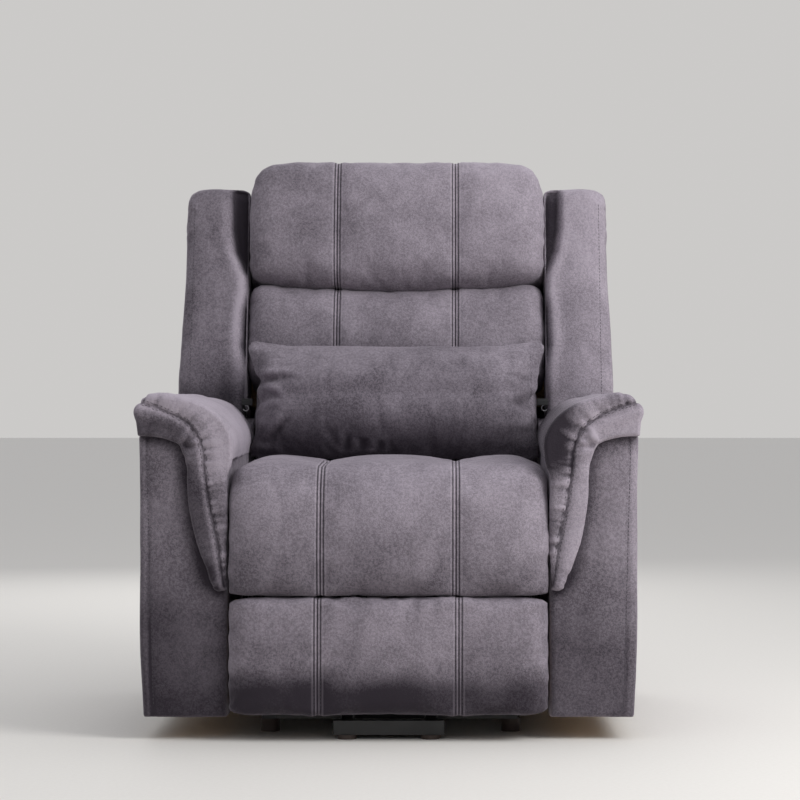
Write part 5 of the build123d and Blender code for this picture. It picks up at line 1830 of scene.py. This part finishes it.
@dataclass(kw_only=True)
class Hook:
    """The small wire hook at the end of a pillow strap."""

    side: Side
    finishes: Finishes
    radius: float = 0.0055
    wire: float = 0.0011
    inset: float = 0.006
    behind: float = 0.028
    mouth: float = 0.7

    def make(self) -> bpy.types.Object:
        """Returns:
            The hook, an open ring that hangs on the strap.
        """
        low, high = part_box("pillow_straps")
        out = float(self.side.value)
        centre = (out * (high[0] - self.inset), low[1] + self.behind, (low[2] + high[2]) / 2)
        bpy.ops.object.select_all(action="DESELECT")
        bpy.ops.mesh.primitive_torus_add(
            major_radius=self.radius,
            minor_radius=self.wire,
            major_segments=20,
            minor_segments=8,
            location=centre,
            rotation=(math.pi / 2, 0.0, 0.0),
        )
        hook = bpy.context.object
        hook.name = "strap_hook_" + self.side.label
        bpy.ops.object.transform_apply(location=True, rotation=True, scale=True)
        bpy.ops.object.mode_set(mode="EDIT")
        bpy.ops.mesh.select_all(action="SELECT")
        bpy.ops.mesh.bisect(
            plane_co=(centre[0] + out * self.radius * self.mouth, centre[1], centre[2]),
            plane_no=(out, 0.0, 0.5),
            clear_outer=True,
            use_fill=True,
        )
        bpy.ops.object.mode_set(mode="OBJECT")
        hook.data.materials.append(self.finishes.by_slot[Slot.BRIGHT])
        smooth_shade(hook, 50)
        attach(hook, "back")
        return hook


# ---------------------------------------------------------------- studio


@dataclass(frozen=True)
class Lamp:
    """A square area light."""

    name: str
    place: Point
    target: Point
    size: float
    power: float

    def build(self) -> None:
        """Hangs the lamp and points it."""
        light = bpy.data.lights.new(self.name, "AREA")
        light.size = self.size
        light.energy = self.power
        lamp = bpy.data.objects.new(self.name, light)
        lamp.location = self.place
        heading = Vector(self.target) - Vector(self.place)
        lamp.rotation_euler = heading.to_track_quat("-Z", "Y").to_euler()
        bpy.context.scene.collection.objects.link(lamp)


@dataclass(frozen=True)
class Studio:
    """The floor, the lights and the camera."""

    camera_place: Point = (0.11, -4.65, 0.612)
    lens: float = 106.8
    shift: Pair = (-0.063, -0.005)
    floor_half: float = 30.0
    floor_colours: tuple[Colour, Colour] = ((0.74, 0.71, 0.67), (0.80, 0.78, 0.74))
    backdrop: Colour = (0.60, 0.59, 0.58)
    horizon: Colour = (0.16, 0.165, 0.175)
    zenith: Colour = (0.70, 0.71, 0.74)
    lamps: tuple[Lamp, ...] = (
        Lamp("key_light", (2.0, -1.5, 2.0), (0.0, -0.1, 0.75), 1.3, 47.0),
        Lamp("fill_light", (-2.4, -3.0, 1.9), (0.0, 0.0, 0.6), 2.4, 5.0),
        Lamp("top_light", (0.8, 0.0, 3.2), (0.0, 0.0, 0.5), 2.2, 9.0),
        Lamp("rear_light", (-0.6, 3.0, 2.0), (0.0, 0.2, 0.6), 2.2, 22.0),
    )

    def build(self) -> None:
        """Makes the floor, lights, surroundings and camera."""
        self._floor()
        self._world()
        for lamp in self.lamps:
            lamp.build()
        self._camera()

    def _floor(self) -> None:
        """A wide pale floor."""
        bpy.ops.object.select_all(action="DESELECT")
        bpy.ops.mesh.primitive_plane_add(size=2.0 * self.floor_half)
        floor = bpy.context.object
        floor.name = "floor"
        material, graph, shader, where = start_material("pale_floor")
        speck = graph.noise(where, 140.0, 3.0)
        graph.put(shader.inputs["Base Color"], graph.blend(speck, *self.floor_colours))
        shader.inputs["Roughness"].default_value = 0.85
        floor.data.materials.append(material)

    def _world(self) -> None:
        """A pale backdrop to the eye, and an even dimmer light to the rest."""
        world = bpy.data.worlds.new("surroundings")
        world.use_nodes = True
        bpy.context.scene.world = world
        graph = Graph(world.node_tree)
        background = world.node_tree.nodes["Background"]
        paths = graph.add("LightPath").outputs
        seen = graph.math("MAXIMUM", paths["Is Camera Ray"], paths["Is Glossy Ray"])
        seen = graph.math("MAXIMUM", seen, paths["Is Transmission Ray"])
        heading = graph.add("TexCoord").outputs["Generated"]
        height = graph.add("SeparateXYZ", None, Vector=heading).outputs[2]
        dome = graph.blend(graph.remap(height, 0.0, 0.85), self.horizon, self.zenith)
        graph.put(background.inputs["Color"], graph.blend(seen, dome, self.backdrop))
        background.inputs["Strength"].default_value = 1.0

    def _camera(self) -> None:
        """A level camera straight in front."""
        lens = bpy.data.cameras.new("camera")
        lens.lens = self.lens
        lens.shift_x, lens.shift_y = self.shift
        camera = bpy.data.objects.new("camera", lens)
        camera.location = self.camera_place
        camera.rotation_euler = (math.pi / 2, 0.0, 0.0)
        bpy.context.scene.collection.objects.link(camera)
        bpy.context.scene.camera = camera
        bpy.context.scene.view_settings.view_transform = "Standard"


class Chair:
    """The whole chair: finishes on the CAD nodes and the soft pieces over them."""

    def __init__(self) -> None:
        """Makes the finishes."""
        self.finishes = Finishes()

    def build(self) -> None:
        """Dresses the nodes and makes each soft piece."""
        self.finishes.dress_nodes()
        own = {"finishes": self.finishes}
        pieces: list[SoftPiece | Bands | Hook] = [
            SeatCushion(**own),
            LegrestPad(**own),
            # The head's cushion gets more painted light, and a steeper painted light towards +X.
            BackCushion(node="head_cushion", seed=20, lift=0.011, brushed=0.14, slope=1.30, **own),
            BackCushion(node="middle_cushion", seed=24, **own),
            BackCushion(node="lower_cushion", seed=28, swell=0.006, **own),
            LumbarPillow(**own),
            BackCover(**own),
            Covering(node="rear_apron", seed=111, **own),
            Covering(node="handset_pouch", voxel=0.0015, unevenness=0.0004, seed=113, **own),
            Bands(node="seat_webbing", body="chassis", **own),
            Bands(node="back_webbing", body="back", **own),
            Bands(node="pillow_straps", body="back", **own),
        ]
        for side in Side:
            pieces += [kind(side=side, **own) for kind in (Hook, Wing, ArmPad, ArmCover)]
        for piece in pieces:
            piece.make()


def main() -> None:
    """Builds the scene."""
    logging.basicConfig(level=logging.INFO, format="%(message)s")
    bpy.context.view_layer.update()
    Chair().build()
    Studio().build()


if __name__ == "__main__":
    main()
